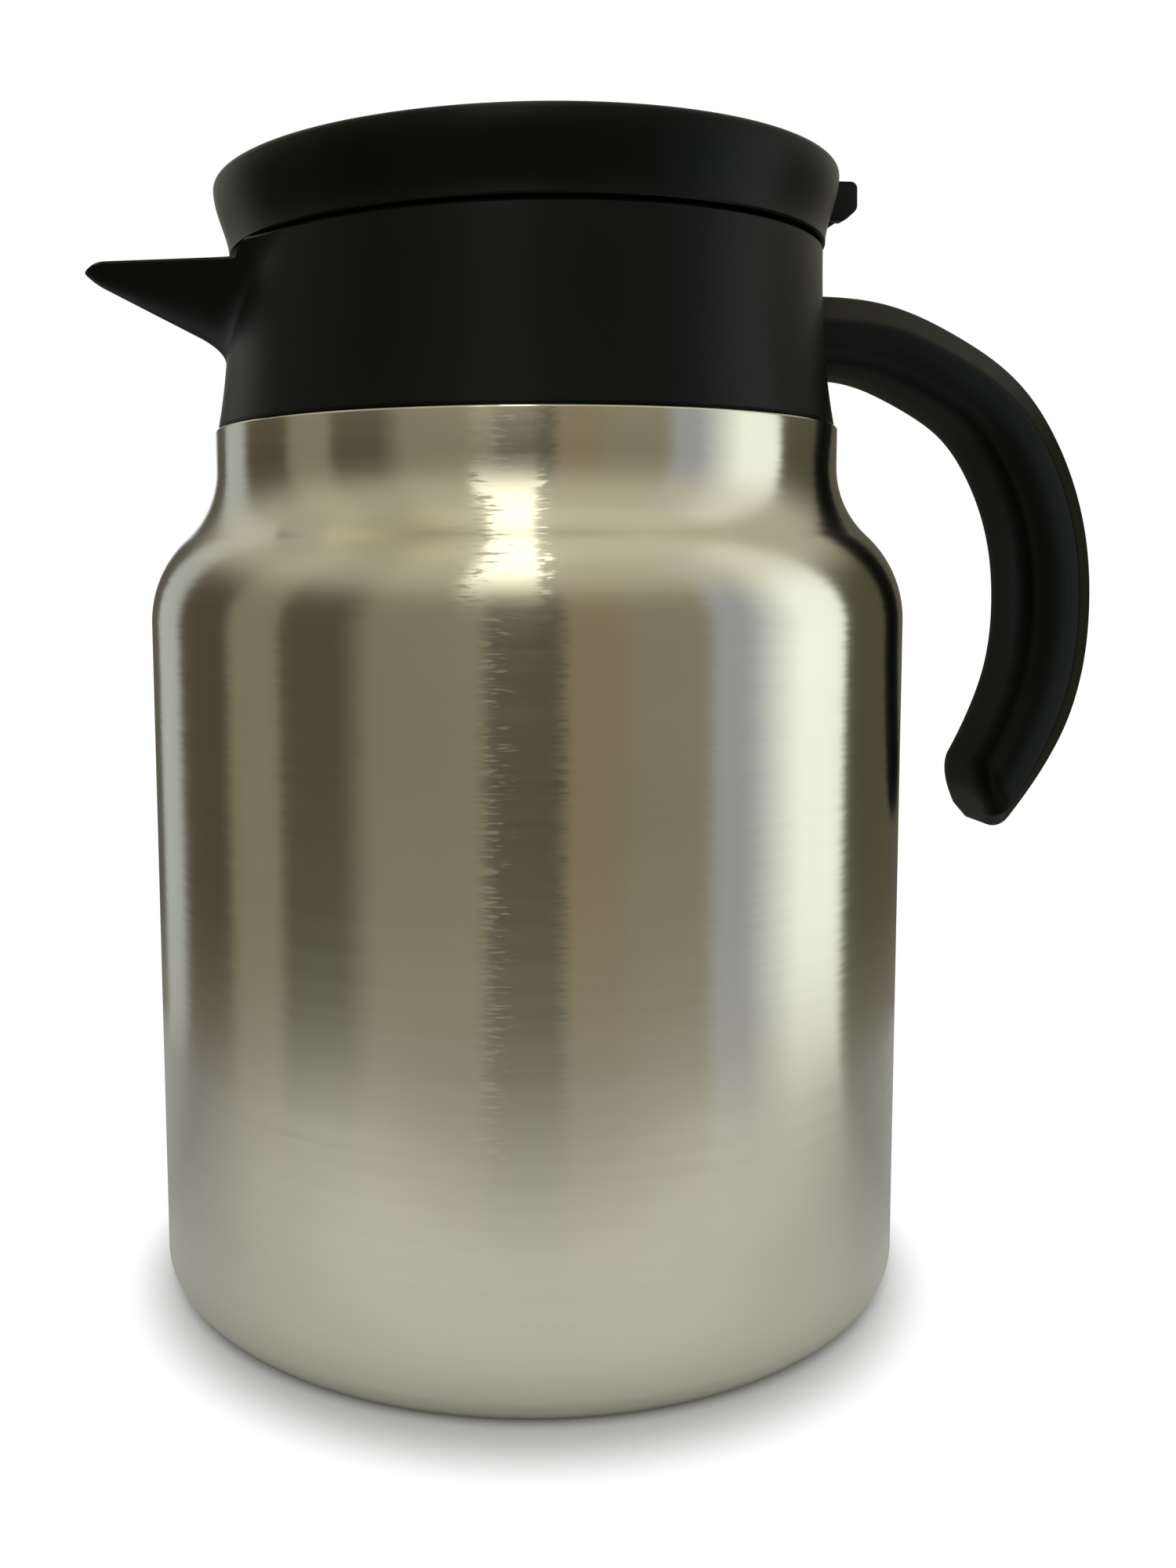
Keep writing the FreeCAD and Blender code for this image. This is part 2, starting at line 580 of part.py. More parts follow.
def plug_cup():
    flange = rod(LID_BORE_R - SLIP, FLANGE_Z, FLANGE_TOP_Z)
    wall = rod(PLUG_R, SEAL_TOP_Z, FLANGE_TOP_Z)
    body = flange.fuse(wall).cut(rod(PLUG_BORE_R, SEAL_TOP_Z - OVER, FLANGE_TOP_Z + OVER))
    room = slab(POCKET_IN_X - SLIP, LID_TOP_R, POST_HALF + SWING + LID_WALL + SLIP,
                FLANGE_Z - OVER, FLANGE_TOP_Z + OVER)
    body = body.cut(room)
    for x, y in lid_screw_places():
        body = body.cut(rod(SCREW_R + SLIP, FLANGE_Z - OVER, FLANGE_TOP_Z + OVER, x, y))
        body = body.cut(rod(SCREW_HEAD_R + SLIP, FLANGE_Z - OVER, FLANGE_Z + SCREW_HEAD, x, y))
    return sloped(body.removeSplitter())


def lid_screws():
    screws = []
    for x, y in lid_screw_places():
        head = rod(SCREW_HEAD_R, FLANGE_Z, FLANGE_Z + SCREW_HEAD, x, y)
        long, short = SCREW_CROSS * SCREW_HEAD_R, SCREW_HEAD / 4
        slot = Part.makeBox(2 * long, 2 * short, 2 * short, Vector(x - long, y - short, FLANGE_Z))
        cross = Part.makeBox(2 * short, 2 * long, 2 * short, Vector(x - short, y - long, FLANGE_Z))
        shank = rod(SCREW_R, FLANGE_Z, FLANGE_Z + LID_SCREW_LENGTH, x, y)
        screws.append(sloped(head.fuse(shank).removeSplitter().cut(slot).cut(cross)))
    return Part.makeCompound(screws)


def plug_cover():
    low = SEAL_Z + SEAL_GAP
    disc = rod(PLUG_R - SEAL_OUT / 2, low, COVER_TOP_Z)
    spigot = tube(PLUG_BORE_R - SLIP - PLUG_WALL, PLUG_BORE_R - SLIP, COVER_TOP_Z, COVER_TOP_Z + COVER_SPIGOT)
    dish = rod(PLUG_BORE_R - SLIP - PLUG_WALL, low + COVER_THICK, COVER_TOP_Z + OVER)
    return sloped(disc.fuse(spigot).cut(dish).removeSplitter())


def lid_seal():
    r_mid = PLUG_R - SEAL_OUT / 2 + SLIP
    r_in = PLUG_BORE_R - SLIP + FIT
    r_out = PLUG_R + SEAL_OUT
    return sloped(turned([(r_in, COVER_TOP_Z), (r_mid, COVER_TOP_Z), (r_mid, SEAL_Z),
                          (r_out, SEAL_Z), (r_out, SEAL_TOP_Z), (r_in, SEAL_TOP_Z)]))


def lid_foam():
    low = COVER_TOP_Z + COVER_SPIGOT + SLIP
    return sloped(rod(PLUG_BORE_R - SLIP, low, CEILING_Z - SLIP))


def hinge_pin():
    half = KNUCKLE_HALF - SLIP
    pin = Part.makeCylinder(PIN_R, 2 * half, Vector(PIN_X, -half, PIN_Z), Vector(0, 1, 0))
    return sloped(pin)


# Handle

def handle_path():
    """Middle line of the open C, from inside the collar wall round to the free end, in the plane Y = 0."""
    span = HANDLE_REACH - COLLAR_TOP_R
    upper = ((-0.08, 0.0), (0.25, 0.02), (0.5, 0.12), (0.72, 0.265), (0.87, 0.47), (0.975, 0.76), (1.0, 1.0))
    lower = ((0.9, 0.33), (0.62, 0.58), (0.1, 0.88), (-0.25, 1.03))
    points = [at(COLLAR_TOP_R + span * out, HANDLE_ROOT_Z - HANDLE_DROP * down) for out, down in upper]
    points += [at(HANDLE_END_X + HANDLE_CURL * out, HANDLE_BULGE_Z - HANDLE_FALL * down)
               for out, down in lower]
    curve = Part.BSplineCurve()
    curve.interpolate(points)
    return curve


def handle_sweep(low, high, half, round_low, round_high, first=0.0, last=1.0):
    """A bar along the handle path: low to high across its thickness, half its width, with rounded corners."""
    curve = handle_path()
    span = curve.LastParameter - curve.FirstParameter
    u0 = curve.FirstParameter + span * first
    u1 = curve.FirstParameter + span * last
    start = curve.value(u0)
    along = curve.tangent(u0)[0]
    out = Vector(-along.z, 0, along.x)
    side = Vector(0, 1, 0)

    def spot(u, v):
        return start + out * u + side * v

    def bend(u, v, size, su, sv):
        c = spot(u - su * size, v - sv * size)
        return c + out * (su * size * math.sqrt(0.5)) + side * (sv * size * math.sqrt(0.5))

    a, b = round_low, round_high
    edges = [Part.makeLine(spot(low, -half + a), spot(low, half - a)),
             Part.Arc(spot(low, half - a), bend(low, half, a, -1, 1), spot(low + a, half)).toShape(),
             Part.makeLine(spot(low + a, half), spot(high - b, half)),
             Part.Arc(spot(high - b, half), bend(high, half, b, 1, 1), spot(high, half - b)).toShape(),
             Part.makeLine(spot(high, half - b), spot(high, -half + b)),
             Part.Arc(spot(high, -half + b), bend(high, -half, b, 1, -1), spot(high - b, -half)).toShape(),
             Part.makeLine(spot(high - b, -half), spot(low + a, -half)),
             Part.Arc(spot(low + a, -half), bend(low, -half, a, -1, -1), spot(low, -half + a)).toShape()]
    spine = Part.Wire([curve.toShape(u0, u1)])
    return Part.Solid(spine.makePipeShell([Part.Wire(edges)], True, False))


CHANNEL_FIRST = 0.2
CHANNEL_LAST = 0.86
CHANNEL_ROUND = 3.2


def end_cut():
    """Everything on the body side of the leaning end face."""
    size = 2 * HANDLE_WIDTH
    block = Part.makeBox(size, 2 * size, 2 * size, Vector(HANDLE_END_X - size, -size, HANDLE_END_Z - size))
    lean_at = at(HANDLE_END_X, HANDLE_END_Z + HANDLE_HALF)
    block.rotate(lean_at, Vector(0, 1, 0), -HANDLE_CUT_LEAN)
    return block.common(slab(0, 4 * BODY_R, size, -size, HANDLE_BULGE_Z))


def handle_blank():
    """The whole handle: the bar, seated on the collar and cut at its free end."""
    bar = handle_sweep(-HANDLE_HALF, HANDLE_HALF, HANDLE_WIDTH / 2, HANDLE_ROUND, HANDLE_ROUND)
    bar = bar.cut(end_cut()).Solids[0]
    end = [f for f in bar.Faces if isinstance(f.Surface, Part.Plane) and f.BoundBox.ZMax < HANDLE_BULGE_Z]
    bar = bar.makeFillet(HANDLE_END_ROUND, end[0].Edges)
    return bar.cut(collar_outside(FIT))


def handle_channel():
    half = HANDLE_HALF - HANDLE_WALL
    return handle_sweep(-half, half, HANDLE_WIDTH / 2 - HANDLE_WALL, CHANNEL_ROUND, CHANNEL_ROUND,
                        CHANNEL_FIRST, CHANNEL_LAST)


def outer_side():
    """The part of the bar on the outer side of the seam."""
    return handle_sweep(HANDLE_SEAM, HANDLE_THICK, HANDLE_WIDTH, OVER, OVER)


def handle_shell():
    body = handle_blank().common(outer_side()).cut(handle_channel())
    for shank in handle_holes(HANDLE_SCREW_R + FIT):
        body = body.cut(shank)
    return body


def handle_cover():
    body = handle_blank().cut(outer_side()).cut(handle_channel())
    for shank in handle_holes(HANDLE_SCREW_R + FIT):
        body = body.cut(shank)
    return body


PIECES = (outer_shell, inner_flask, base_plate, evacuation_seal, base_pad, getter_cup, getter_pellet,
          spout_collar, mouth_funnel, neck_gasket, handle_shell, handle_cover, handle_screws,
          lid_cap, plug_cup, plug_cover, lid_seal, lid_foam, lid_screws, hinge_pin)

os.makedirs("parts", exist_ok=True)
for piece in PIECES:
    shape = piece()
    print(piece.__name__, "solids", len(shape.Solids), "volume", round(shape.Volume, 1),
          "valid", shape.isValid())
    shape.exportStep("parts/" + piece.__name__ + ".step")
pin = sloped(Part.Vertex(at(PIN_X, PIN_Z))).Point
print("lid hinge axis at", round(pin.x, 3), round(pin.y, 3), round(pin.z, 3))
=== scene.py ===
# %% [markdown]
# # A thermal carafe, dressed in Blender
# The solids of the jug arrive as a fixed frame: every node already sits where it belongs, in metres. This
# lesson gives them their looks. Shell, lid, seal and pad are turned afresh, the collar with its beak is
# worked out as one skin, the handle is swept along a path, and the rest keep their solids and get a
# finish.

# %% Load the frame
import json
import math

import bmesh
import bpy
import numpy as np
from mathutils import Matrix, Vector


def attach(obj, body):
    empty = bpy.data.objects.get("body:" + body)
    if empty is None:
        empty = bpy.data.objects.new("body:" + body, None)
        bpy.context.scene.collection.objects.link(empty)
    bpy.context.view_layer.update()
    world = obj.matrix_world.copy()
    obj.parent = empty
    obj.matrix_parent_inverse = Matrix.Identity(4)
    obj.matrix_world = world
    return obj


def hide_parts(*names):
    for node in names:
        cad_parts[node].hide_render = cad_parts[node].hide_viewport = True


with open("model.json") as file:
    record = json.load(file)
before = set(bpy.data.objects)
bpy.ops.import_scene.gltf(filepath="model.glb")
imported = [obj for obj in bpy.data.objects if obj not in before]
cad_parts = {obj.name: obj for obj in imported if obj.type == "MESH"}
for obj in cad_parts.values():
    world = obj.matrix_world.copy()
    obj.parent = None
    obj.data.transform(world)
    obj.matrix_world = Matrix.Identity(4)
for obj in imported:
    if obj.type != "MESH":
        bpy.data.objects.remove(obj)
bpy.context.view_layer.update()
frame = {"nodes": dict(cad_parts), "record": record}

MM = 0.001
scene = bpy.context.scene
scene.view_settings.view_transform = "Standard"
print("solids in the frame:", len(frame["nodes"]))

# %% [markdown]
# ## Building finishes
# Each finish is a small node tree on one Principled shader. An image would need unwrapping and would blur
# close up, so patterns are worked out from noise. They read Object coordinates, so they stay on the piece
# from any side. Numbers that hold all over a surface sit on the shader's own sockets.

# %% Helpers for node trees


def new_finish(name, colour, roughness, metallic=0.0, specular=0.5):
    """A material with one Principled shader, and that shader."""
    finish = bpy.data.materials.new(name)
    finish.use_nodes = True
    shader = finish.node_tree.nodes["Principled BSDF"]
    for socket, value in (("Base Color", (*colour, 1)), ("Roughness", roughness), ("Metallic", metallic),
                          ("Specular IOR Level", specular)):
        shader.inputs[socket].default_value = value
    return finish, shader


def put(owner, value, socket):
    """A plain value, or the result of another node, given to a socket."""
    if isinstance(value, bpy.types.NodeSocket):
        getattr(owner, "node_tree", owner).links.new(value, socket)
    else:
        socket.default_value = value


def add(owner, kind, values=(), **settings):
    """A new node in a tree, or in the tree of a material or world, with values for its named inputs."""
    node = getattr(owner, "node_tree", owner).nodes.new(kind)
    for key, value in settings.items():
        setattr(node, key, value)
    for name, value in dict(values).items():
        put(owner, value, node.inputs[name])
    return node


def calc(owner, operation, *values):
    """The result of a math node."""
    node = add(owner, "ShaderNodeMath", operation=operation)
    for value, socket in zip(values, node.inputs):
        put(owner, value, socket)
    return node.outputs[0]


print("tree helpers: new_finish, put, add, calc")

# %% Helpers for patterns


def stretched_noise(finish, scale, detail=2.0):
    """Noise on Object coordinates, drawn out by a scale for each axis."""
    place = add(finish, "ShaderNodeTexCoord").outputs["Object"]
    drawn_out = add(finish, "ShaderNodeMapping", {"Vector": place, "Scale": scale}).outputs["Vector"]
    values = {"Vector": drawn_out, "Scale": 1.0, "Detail": detail}
    return add(finish, "ShaderNodeTexNoise", values).outputs["Fac"]


def spread(finish, source, low, high, start=0.3, end=0.7, kind="LINEAR"):
    """The source's values between start and end, spread from low to high."""
    values = {"Value": source, "From Min": start, "From Max": end, "To Min": low, "To Max": high}
    return add(finish, "ShaderNodeMapRange", values, interpolation_type=kind).outputs["Result"]


def bump(finish, height, distance, strength):
    values = {"Height": height, "Distance": distance, "Strength": strength}
    return add(finish, "ShaderNodeBump", values).outputs["Normal"]


def tinted(finish, source, dark, light):
    """A colour between two, by the source's value. The first may be a colour or a socket."""
    node = add(finish, "ShaderNodeMix", {"Factor": source}, data_type="RGBA")
    first, second = [item for item in node.inputs if item.type == "RGBA"]
    put(finish, (*dark, 1) if isinstance(dark, tuple) else dark, first)
    put(finish, (*light, 1), second)
    return next(item for item in node.outputs if item.type == "RGBA")


def about_axis(finish):
    """The turn about the upright axis and the height, both from Object coordinates."""
    place = add(finish, "ShaderNodeTexCoord").outputs["Object"]
    split = add(finish, "ShaderNodeSeparateXYZ", {"Vector": place})
    return calc(finish, "ARCTAN2", split.outputs["Y"], split.outputs["X"]), split.outputs["Z"]


print("pattern helpers: stretched_noise, spread, bump, tinted, about_axis")

# %% [markdown]
# ## Turned steel
# The shell is spun from sheet and finished on a lathe, so fine lines run round it. Such lines smear a
# reflection upwards and downwards but keep it sharp sideways, which gives the upright bands of light.
# Modelled lines would take millions of faces, so Anisotropy does the smearing. A small sideways tilt of
# the normal, different from line to line, makes the edges of the bands a little ragged. Along one upright
# strip, where the sheet was welded and ground flat, the lines are coarser and throw short glints.

# %% Uneven roughness and colour


def uneven(finish, shader, source, roughness, span):
    """Roughness that differs from place to place within a span, by the source's value."""
    low, high = [roughness + part for part in span]
    put(finish, spread(finish, source, low, high), shader.inputs["Roughness"])


def mottled(finish, shader, source, colour, shares):
    """A base colour that differs from place to place between two shares of it."""
    shades = [tuple(c * share for c in colour) for share in shares]
    put(finish, tinted(finish, spread(finish, source, 0, 1), *shades), shader.inputs["Base Color"])


print("surface helpers: uneven, mottled")

# %% Turned steel finish
STEEL_COLOUR = (0.54, 0.525, 0.42)
FLASK_COLOUR = (0.56, 0.55, 0.53)
SMEAR = 0.92
QUARTER_TURN = 0.25
LINES = (18, 18, 1500)
LINE_DEPTH = 0.0000015
STREAKS = (7, 7, 800)
SCRATCHES = (330, 330, 2500)
CLOUDS = (22, 22, 30)
STEEL_SPAN = (-0.012, 0.016)
STEEL_SHADES = (0.95, 1.03)
WAVER_RANGE = (0.25, 0.75)
SEAM_TURN = math.radians(-103)
SEAM_HALF = math.radians(9)
SEAM_CORE = 0.4
GLINT = 0.085
GLINT_RANGE = (0.51, 0.68)


def near_seam(finish):
    """1 on the ground strip, falling to 0 beside it."""
    aside = calc(finish, "ABSOLUTE", calc(finish, "SUBTRACT", about_axis(finish)[0], SEAM_TURN))
    return spread(finish, aside, 1.0, 0.0, SEAM_CORE * SEAM_HALF, SEAM_HALF)


def turned_steel(name, colour, roughness, ragged):
    finish, shader = new_finish(name, colour, roughness, metallic=1.0)
    shader.inputs["Anisotropic"].default_value = SMEAR
    shader.inputs["Anisotropic Rotation"].default_value = QUARTER_TURN
    around = add(finish, "ShaderNodeTangent", direction_type="RADIAL", axis="Z").outputs["Tangent"]
    put(finish, around, shader.inputs["Tangent"])
    uneven(finish, shader, stretched_noise(finish, STREAKS), roughness, STEEL_SPAN)
    mottled(finish, shader, stretched_noise(finish, CLOUDS), colour, STEEL_SHADES)
    lines = stretched_noise(finish, LINES, detail=3.0)
    scratches = stretched_noise(finish, SCRATCHES, detail=3.0)
    waver = spread(finish, lines, -ragged, ragged, *WAVER_RANGE)
    glints = spread(finish, scratches, 0.0, -GLINT, *GLINT_RANGE)
    glints = calc(finish, "MULTIPLY", glints, near_seam(finish))
    values = {"Vector": around, "Scale": calc(finish, "ADD", waver, glints)}
    tilt = add(finish, "ShaderNodeVectorMath", values, operation="SCALE")
    total = add(finish, "ShaderNodeVectorMath", operation="ADD")
    put(finish, bump(finish, lines, LINE_DEPTH, strength=0.5), total.inputs[0])
    put(finish, tilt.outputs["Vector"], total.inputs[1])
    unit = add(finish, "ShaderNodeVectorMath", {"Vector": total.outputs["Vector"]}, operation="NORMALIZE")
    put(finish, unit.outputs["Vector"], shader.inputs["Normal"])
    return finish


shell_steel = turned_steel("turned_shell", STEEL_COLOUR, roughness=0.2, ragged=0.007)
flask_steel = turned_steel("turned_flask", FLASK_COLOUR, roughness=0.3, ragged=0.008)
print("steel finishes:", shell_steel.name, flask_steel.name)

# %% [markdown]
# ## Black mouldings and small metal
# The collar, lid and handle are one satin black plastic: nearly no colour of its own, a weak soft gloss,
# and a very fine spark-eroded grain that breaks highlights up. Inside, the same plastic is duller. Each
# could have a tree of its own, but they differ only in numbers, so one function makes all the moulded
# finishes and another makes the brushed metal of screws, pin and solder.

# %% Black plastic, silicone, rubber and small metal
GRAIN = (5200, 5200, 5200)
BLOTCHES = (60, 60, 60)
PLASTIC_SPAN = (-0.012, 0.015)
PLASTIC_SHADES = (0.85, 1.15)
BRUSHING = (700, 700, 700)
BRUSH_DEPTH = 0.000008
BRUSH_SPAN = (-0.08, 0.1)


def moulded(name, colour, roughness, grain_depth, specular):
    finish, shader = new_finish(name, colour, roughness, specular=specular)
    grain = stretched_noise(finish, GRAIN)
    blotch = stretched_noise(finish, BLOTCHES, detail=3.0)
    uneven(finish, shader, blotch, roughness, PLASTIC_SPAN)
    mottled(finish, shader, blotch, colour, PLASTIC_SHADES)
    put(finish, bump(finish, grain, grain_depth, strength=0.6), shader.inputs["Normal"])
    return finish


def brushed(name, colour, roughness):
    finish, shader = new_finish(name, colour, roughness, metallic=1.0)
    wear = stretched_noise(finish, BRUSHING, detail=4.0)
    uneven(finish, shader, wear, roughness, BRUSH_SPAN)
    put(finish, bump(finish, wear, BRUSH_DEPTH, strength=0.5), shader.inputs["Normal"])
    return finish


FINISHES = {
    "shell_steel": shell_steel,
    "flask_steel": flask_steel,
    "black_plastic": moulded("satin_black", (0.0012, 0.0022, 0.0012), 0.36, 0.000006, 0.11),
    "inner_plastic": moulded("dull_black", (0.005, 0.0053, 0.005), 0.52, 0.000008, 0.25),
    "pad_rubber": moulded("soft_rubber", (0.022, 0.022, 0.022), 0.75, 0.00002, 0.3),
    "silicone": moulded("pale_silicone", (0.62, 0.62, 0.585), 0.48, 0.000004, 0.45),
    "foam": moulded("white_foam", (0.78, 0.78, 0.74), 0.9, 0.00008, 0.2),
    "screw_steel": brushed("bright_screw", (0.56, 0.56, 0.55), 0.28),
    "solder": brushed("dull_solder", (0.4, 0.41, 0.43), 0.45),
}
black_plastic = FINISHES["black_plastic"]
dark_pin = brushed("blackened_pin", (0.03, 0.03, 0.03), 0.4)
print("finishes:", sorted(FINISHES))

# %% [markdown]
# ## Finishing the solids that stay
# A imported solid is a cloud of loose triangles, flat shaded. Its mesh could be edited, but the solids have
# to stay as they are. So a small tree joins the points and smooths every edge that isn't a real corner,
# and it stays on the node as a modifier.

# %% Soft shading tree
CREASE = math.radians(34)
SOLID_JOIN = 0.000002


def new_tree(name, inputs):
    """A modifier's tree with named inputs, each of a kind. Its one output is the geometry."""
    tree = bpy.data.node_groups.new(name, "GeometryNodeTree")
    for label, kind in inputs.items():
        tree.interface.new_socket(label, in_out="INPUT", socket_type="NodeSocket" + kind)
    tree.interface.new_socket("Geometry", in_out="OUTPUT", socket_type="NodeSocketGeometry")
    tree.is_modifier = True
    return tree


def chain(tree, *nodes):
    """Geometry passed from each node to the next one."""
    for node, following in zip(nodes, nodes[1:]):
        put(tree, node.outputs[0], following.inputs[0])


def soft_shading_tree():
    tree = new_tree("soft_shading", {"Geometry": "Geometry"})
    merged = add(tree, "GeometryNodeMergeByDistance", {"Distance": SOLID_JOIN})
    smooth = add(tree, "GeometryNodeSetShadeSmooth")
    angle = add(tree, "GeometryNodeInputMeshEdgeAngle").outputs["Unsigned Angle"]
    corner = add(tree, "FunctionNodeCompare", operation="GREATER_THAN")
    for value, socket in zip((angle, CREASE), corner.inputs):
        put(tree, value, socket)
    values = {"Selection": corner.outputs["Result"], "Shade Smooth": False}
    sharp = add(tree, "GeometryNodeSetShadeSmooth", values, domain="EDGE")
    chain(tree, add(tree, "NodeGroupInput"), merged, smooth, sharp, add(tree, "NodeGroupOutput"))
    return tree


soft_shading = soft_shading_tree()
SLOT_OF = {part["node"]: part["material_slot"] for part in frame["record"]["subparts"]}
for name, node in frame["nodes"].items():
    if not node.material_slots:
        node.data.materials.append(None)
    for slot in node.material_slots:
        slot.link = "OBJECT"
        slot.material = FINISHES[SLOT_OF[name]]
    node.modifiers.new("soft_shading", "NODES").node_group = soft_shading
frame["nodes"]["hinge_pin"].material_slots[0].material = dark_pin
print("solids with a finish:", len(SLOT_OF))

# %% [markdown]
# ## A lathe made of nodes
# Shell, lid, seal and pad are round. A Screw modifier could turn each outline, but one tree does it for
# all and gives the finish too. It lays a grid with one column for each step round and one row for each
# point of the outline, moves every point to its place on the outline, and turns it about the upright
# axis. Joining the doubles closes the seam.

# %% Lathe tree
SEAM_JOIN = 0.000001


def lathe_tree():
    tree = new_tree("lathe", {"Outline": "Object", "Steps round": "Int", "Finish": "Material"})
    source = add(tree, "NodeGroupInput")
    steps = source.outputs["Steps round"]
    outline = add(tree, "GeometryNodeObjectInfo", {"Object": source.outputs["Outline"]}).outputs["Geometry"]
    size = add(tree, "GeometryNodeAttributeDomainSize", {"Geometry": outline}, component="MESH")
    count = size.outputs["Point Count"]
    values = {"Vertices X": calc(tree, "ADD", steps, 1.0), "Vertices Y": count}
    grid = add(tree, "GeometryNodeMeshGrid", values)
    index = add(tree, "GeometryNodeInputIndex").outputs[0]
    row = calc(tree, "MODULO", index, count)
    column = calc(tree, "FLOOR", calc(tree, "DIVIDE", index, count))
    step_angle = calc(tree, "DIVIDE", 2 * math.pi, steps)
    values = {"Geometry": outline, "Index": row}
    sample = add(tree, "GeometryNodeSampleIndex", values, data_type="FLOAT_VECTOR", domain="POINT")
    taken = next(item for item in sample.inputs if item.name == "Value" and item.enabled)
    put(tree, add(tree, "GeometryNodeInputPosition").outputs[0], taken)
    found = next(item for item in sample.outputs if item.enabled)
    values = {"Vector": found, "Angle": calc(tree, "MULTIPLY", column, step_angle)}
    turned = add(tree, "ShaderNodeVectorRotate", values, rotation_type="Z_AXIS")
    place = add(tree, "GeometryNodeSetPosition", {"Position": turned.outputs["Vector"]})
    closed = add(tree, "GeometryNodeMergeByDistance", {"Distance": SEAM_JOIN})
    real = add(tree, "GeometryNodeRealizeInstances")
    finish = add(tree, "GeometryNodeSetMaterial", {"Material": source.outputs["Finish"]})
    chain(tree, grid, place, closed, real, finish, add(tree, "NodeGroupOutput"))
    return tree


lathe = lathe_tree()
print("nodes in the lathe:", len(lathe.nodes))

# %% [markdown]
# The lathe needs an outline as an object. Outlines are written as corners in millimetres, radius then
# height. A corner with a third number is rounded by that radius, as on a turner's drawing.

# %% Rounded outlines
ROUND_STEPS = 10


def rounded(corners):
    """A closed outline from corners (radius, height, round), with arcs put in at the rounded ones."""
    points = []
    total = len(corners)
    for i, item in enumerate(corners):
        here = Vector(item[:2])
        size = item[2] if len(item) > 2 else 0.0
        if not size:
            points.append(here)
            continue
        before = (Vector(corners[i - 1][:2]) - here).normalized()
        after = (Vector(corners[(i + 1) % total][:2]) - here).normalized()
        half = before.angle(after) / 2
        reach = size / math.tan(half)
        middle = here + (before + after).normalized() * size / math.sin(half)
        start = here + before * reach - middle
        end = here + after * reach - middle
        sweep = start.angle_signed(end)
        for step in range(ROUND_STEPS + 1):
            turn = -sweep * step / ROUND_STEPS
            points.append(middle + Matrix.Rotation(turn, 2) @ start)
    return points


print("points on a rounded corner:", ROUND_STEPS + 1)

# %% [markdown]
# The lathe's result is made a plain mesh, its doubles are joined and its real corners stay sharp. A piece
# then rides on its body and takes the place of a solid, which is hidden.

# %% Turning and placing
DOUBLES = 0.0000005
SIDES = 192


def tidy_mesh(mesh, crease=CREASE):
    """Doubles joined, faces turned outwards, corners left sharp."""
    work = bmesh.new()
    work.from_mesh(mesh)
    bmesh.ops.remove_doubles(work, verts=work.verts, dist=DOUBLES)
    bmesh.ops.recalc_face_normals(work, faces=work.faces)
    work.to_mesh(mesh)
    work.free()
    mesh.shade_smooth()
    mesh.set_sharp_from_angle(angle=crease)
    return mesh


def add_piece(name, mesh):
    piece = bpy.data.objects.new(name, mesh)
    scene.collection.objects.link(piece)
    return piece


def plain_mesh(piece):
    """The piece's mesh with its modifiers worked in."""
    bpy.context.view_layer.update()
    ready = piece.evaluated_get(bpy.context.evaluated_depsgraph_get())
    return bpy.data.meshes.new_from_object(ready)


def turn_piece(name, outline, finish, steps=SIDES):
    """The outline, in millimetres, turned on the lathe and made a plain mesh."""
    points = [(p[0] * MM, 0.0, p[1] * MM) for p in list(outline) + list(outline[:1])]
    line = bpy.data.meshes.new(name + "_outline")
    line.from_pydata(points, [], [])
    pattern = add_piece(name + "_outline", line)
    carrier = add_piece(name + "_carrier", bpy.data.meshes.new(name + "_carrier"))
    modifier = carrier.modifiers.new("lathe", "NODES")
    modifier.node_group = lathe
    values = {"Outline": pattern, "Steps round": steps, "Finish": finish}
    for item in lathe.interface.items_tree:
        if item.in_out == "INPUT":
            modifier[item.identifier] = values[item.name]
    mesh = plain_mesh(carrier)
    mesh.name = name
    bpy.data.objects.remove(carrier)
    bpy.data.objects.remove(pattern)
    print(name, "faces:", len(mesh.polygons))
    return add_piece(name, tidy_mesh(mesh))


def stands_for(piece, node, body):
    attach(piece, body)
    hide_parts(node)


print("sides of a turned piece:", SIDES)

# %% [markdown]
# ## The steel shell
# Upright sides, a soft shoulder of two arcs, a short neck with a rolled edge, and a rounded foot. Points
# read off by eye would leave dents in the reflections. The two arcs share a tangent, so light runs over
# the shoulder without a break.

# %% Turn the steel shell
BODY_R = 65.0
FOOT_ROUND = 4.0
SHOULDER_Z = 112.6
SHOULDER_ROUND = 19.5
NECK_R = 53.7
NECK_ROUND = 16.0
NECK_TOP_Z = 145.0
NECK_EDGE = 0.4
SHEET = 0.8
SPIGOT_R = 49.6
SPIGOT_Z = 153.4
BASE_RIM_R = 54.2
BASE_LIP_Z = 3.6
SHOULDER_STEPS = 26
SHELL_SIDES = 288


def shoulder(inset):
    """Points over the shoulder, from the side up to the neck, for a skin set in by inset."""
    turn = math.acos(1 - (BODY_R - NECK_R) / (SHOULDER_ROUND + NECK_ROUND))
    neck_z = SHOULDER_Z + (SHOULDER_ROUND + NECK_ROUND) * math.sin(turn)
    low, high = SHOULDER_ROUND - inset, NECK_ROUND + inset
    shares = [step / SHOULDER_STEPS for step in range(SHOULDER_STEPS + 1)]
    lower = [(BODY_R - SHOULDER_ROUND + low * math.cos(turn * s), SHOULDER_Z + low * math.sin(turn * s))
             for s in shares]
    upper = [(NECK_R + NECK_ROUND - high * math.cos(turn * s), neck_z - high * math.sin(turn * s))
             for s in reversed(shares)]
    return lower + upper[1:]


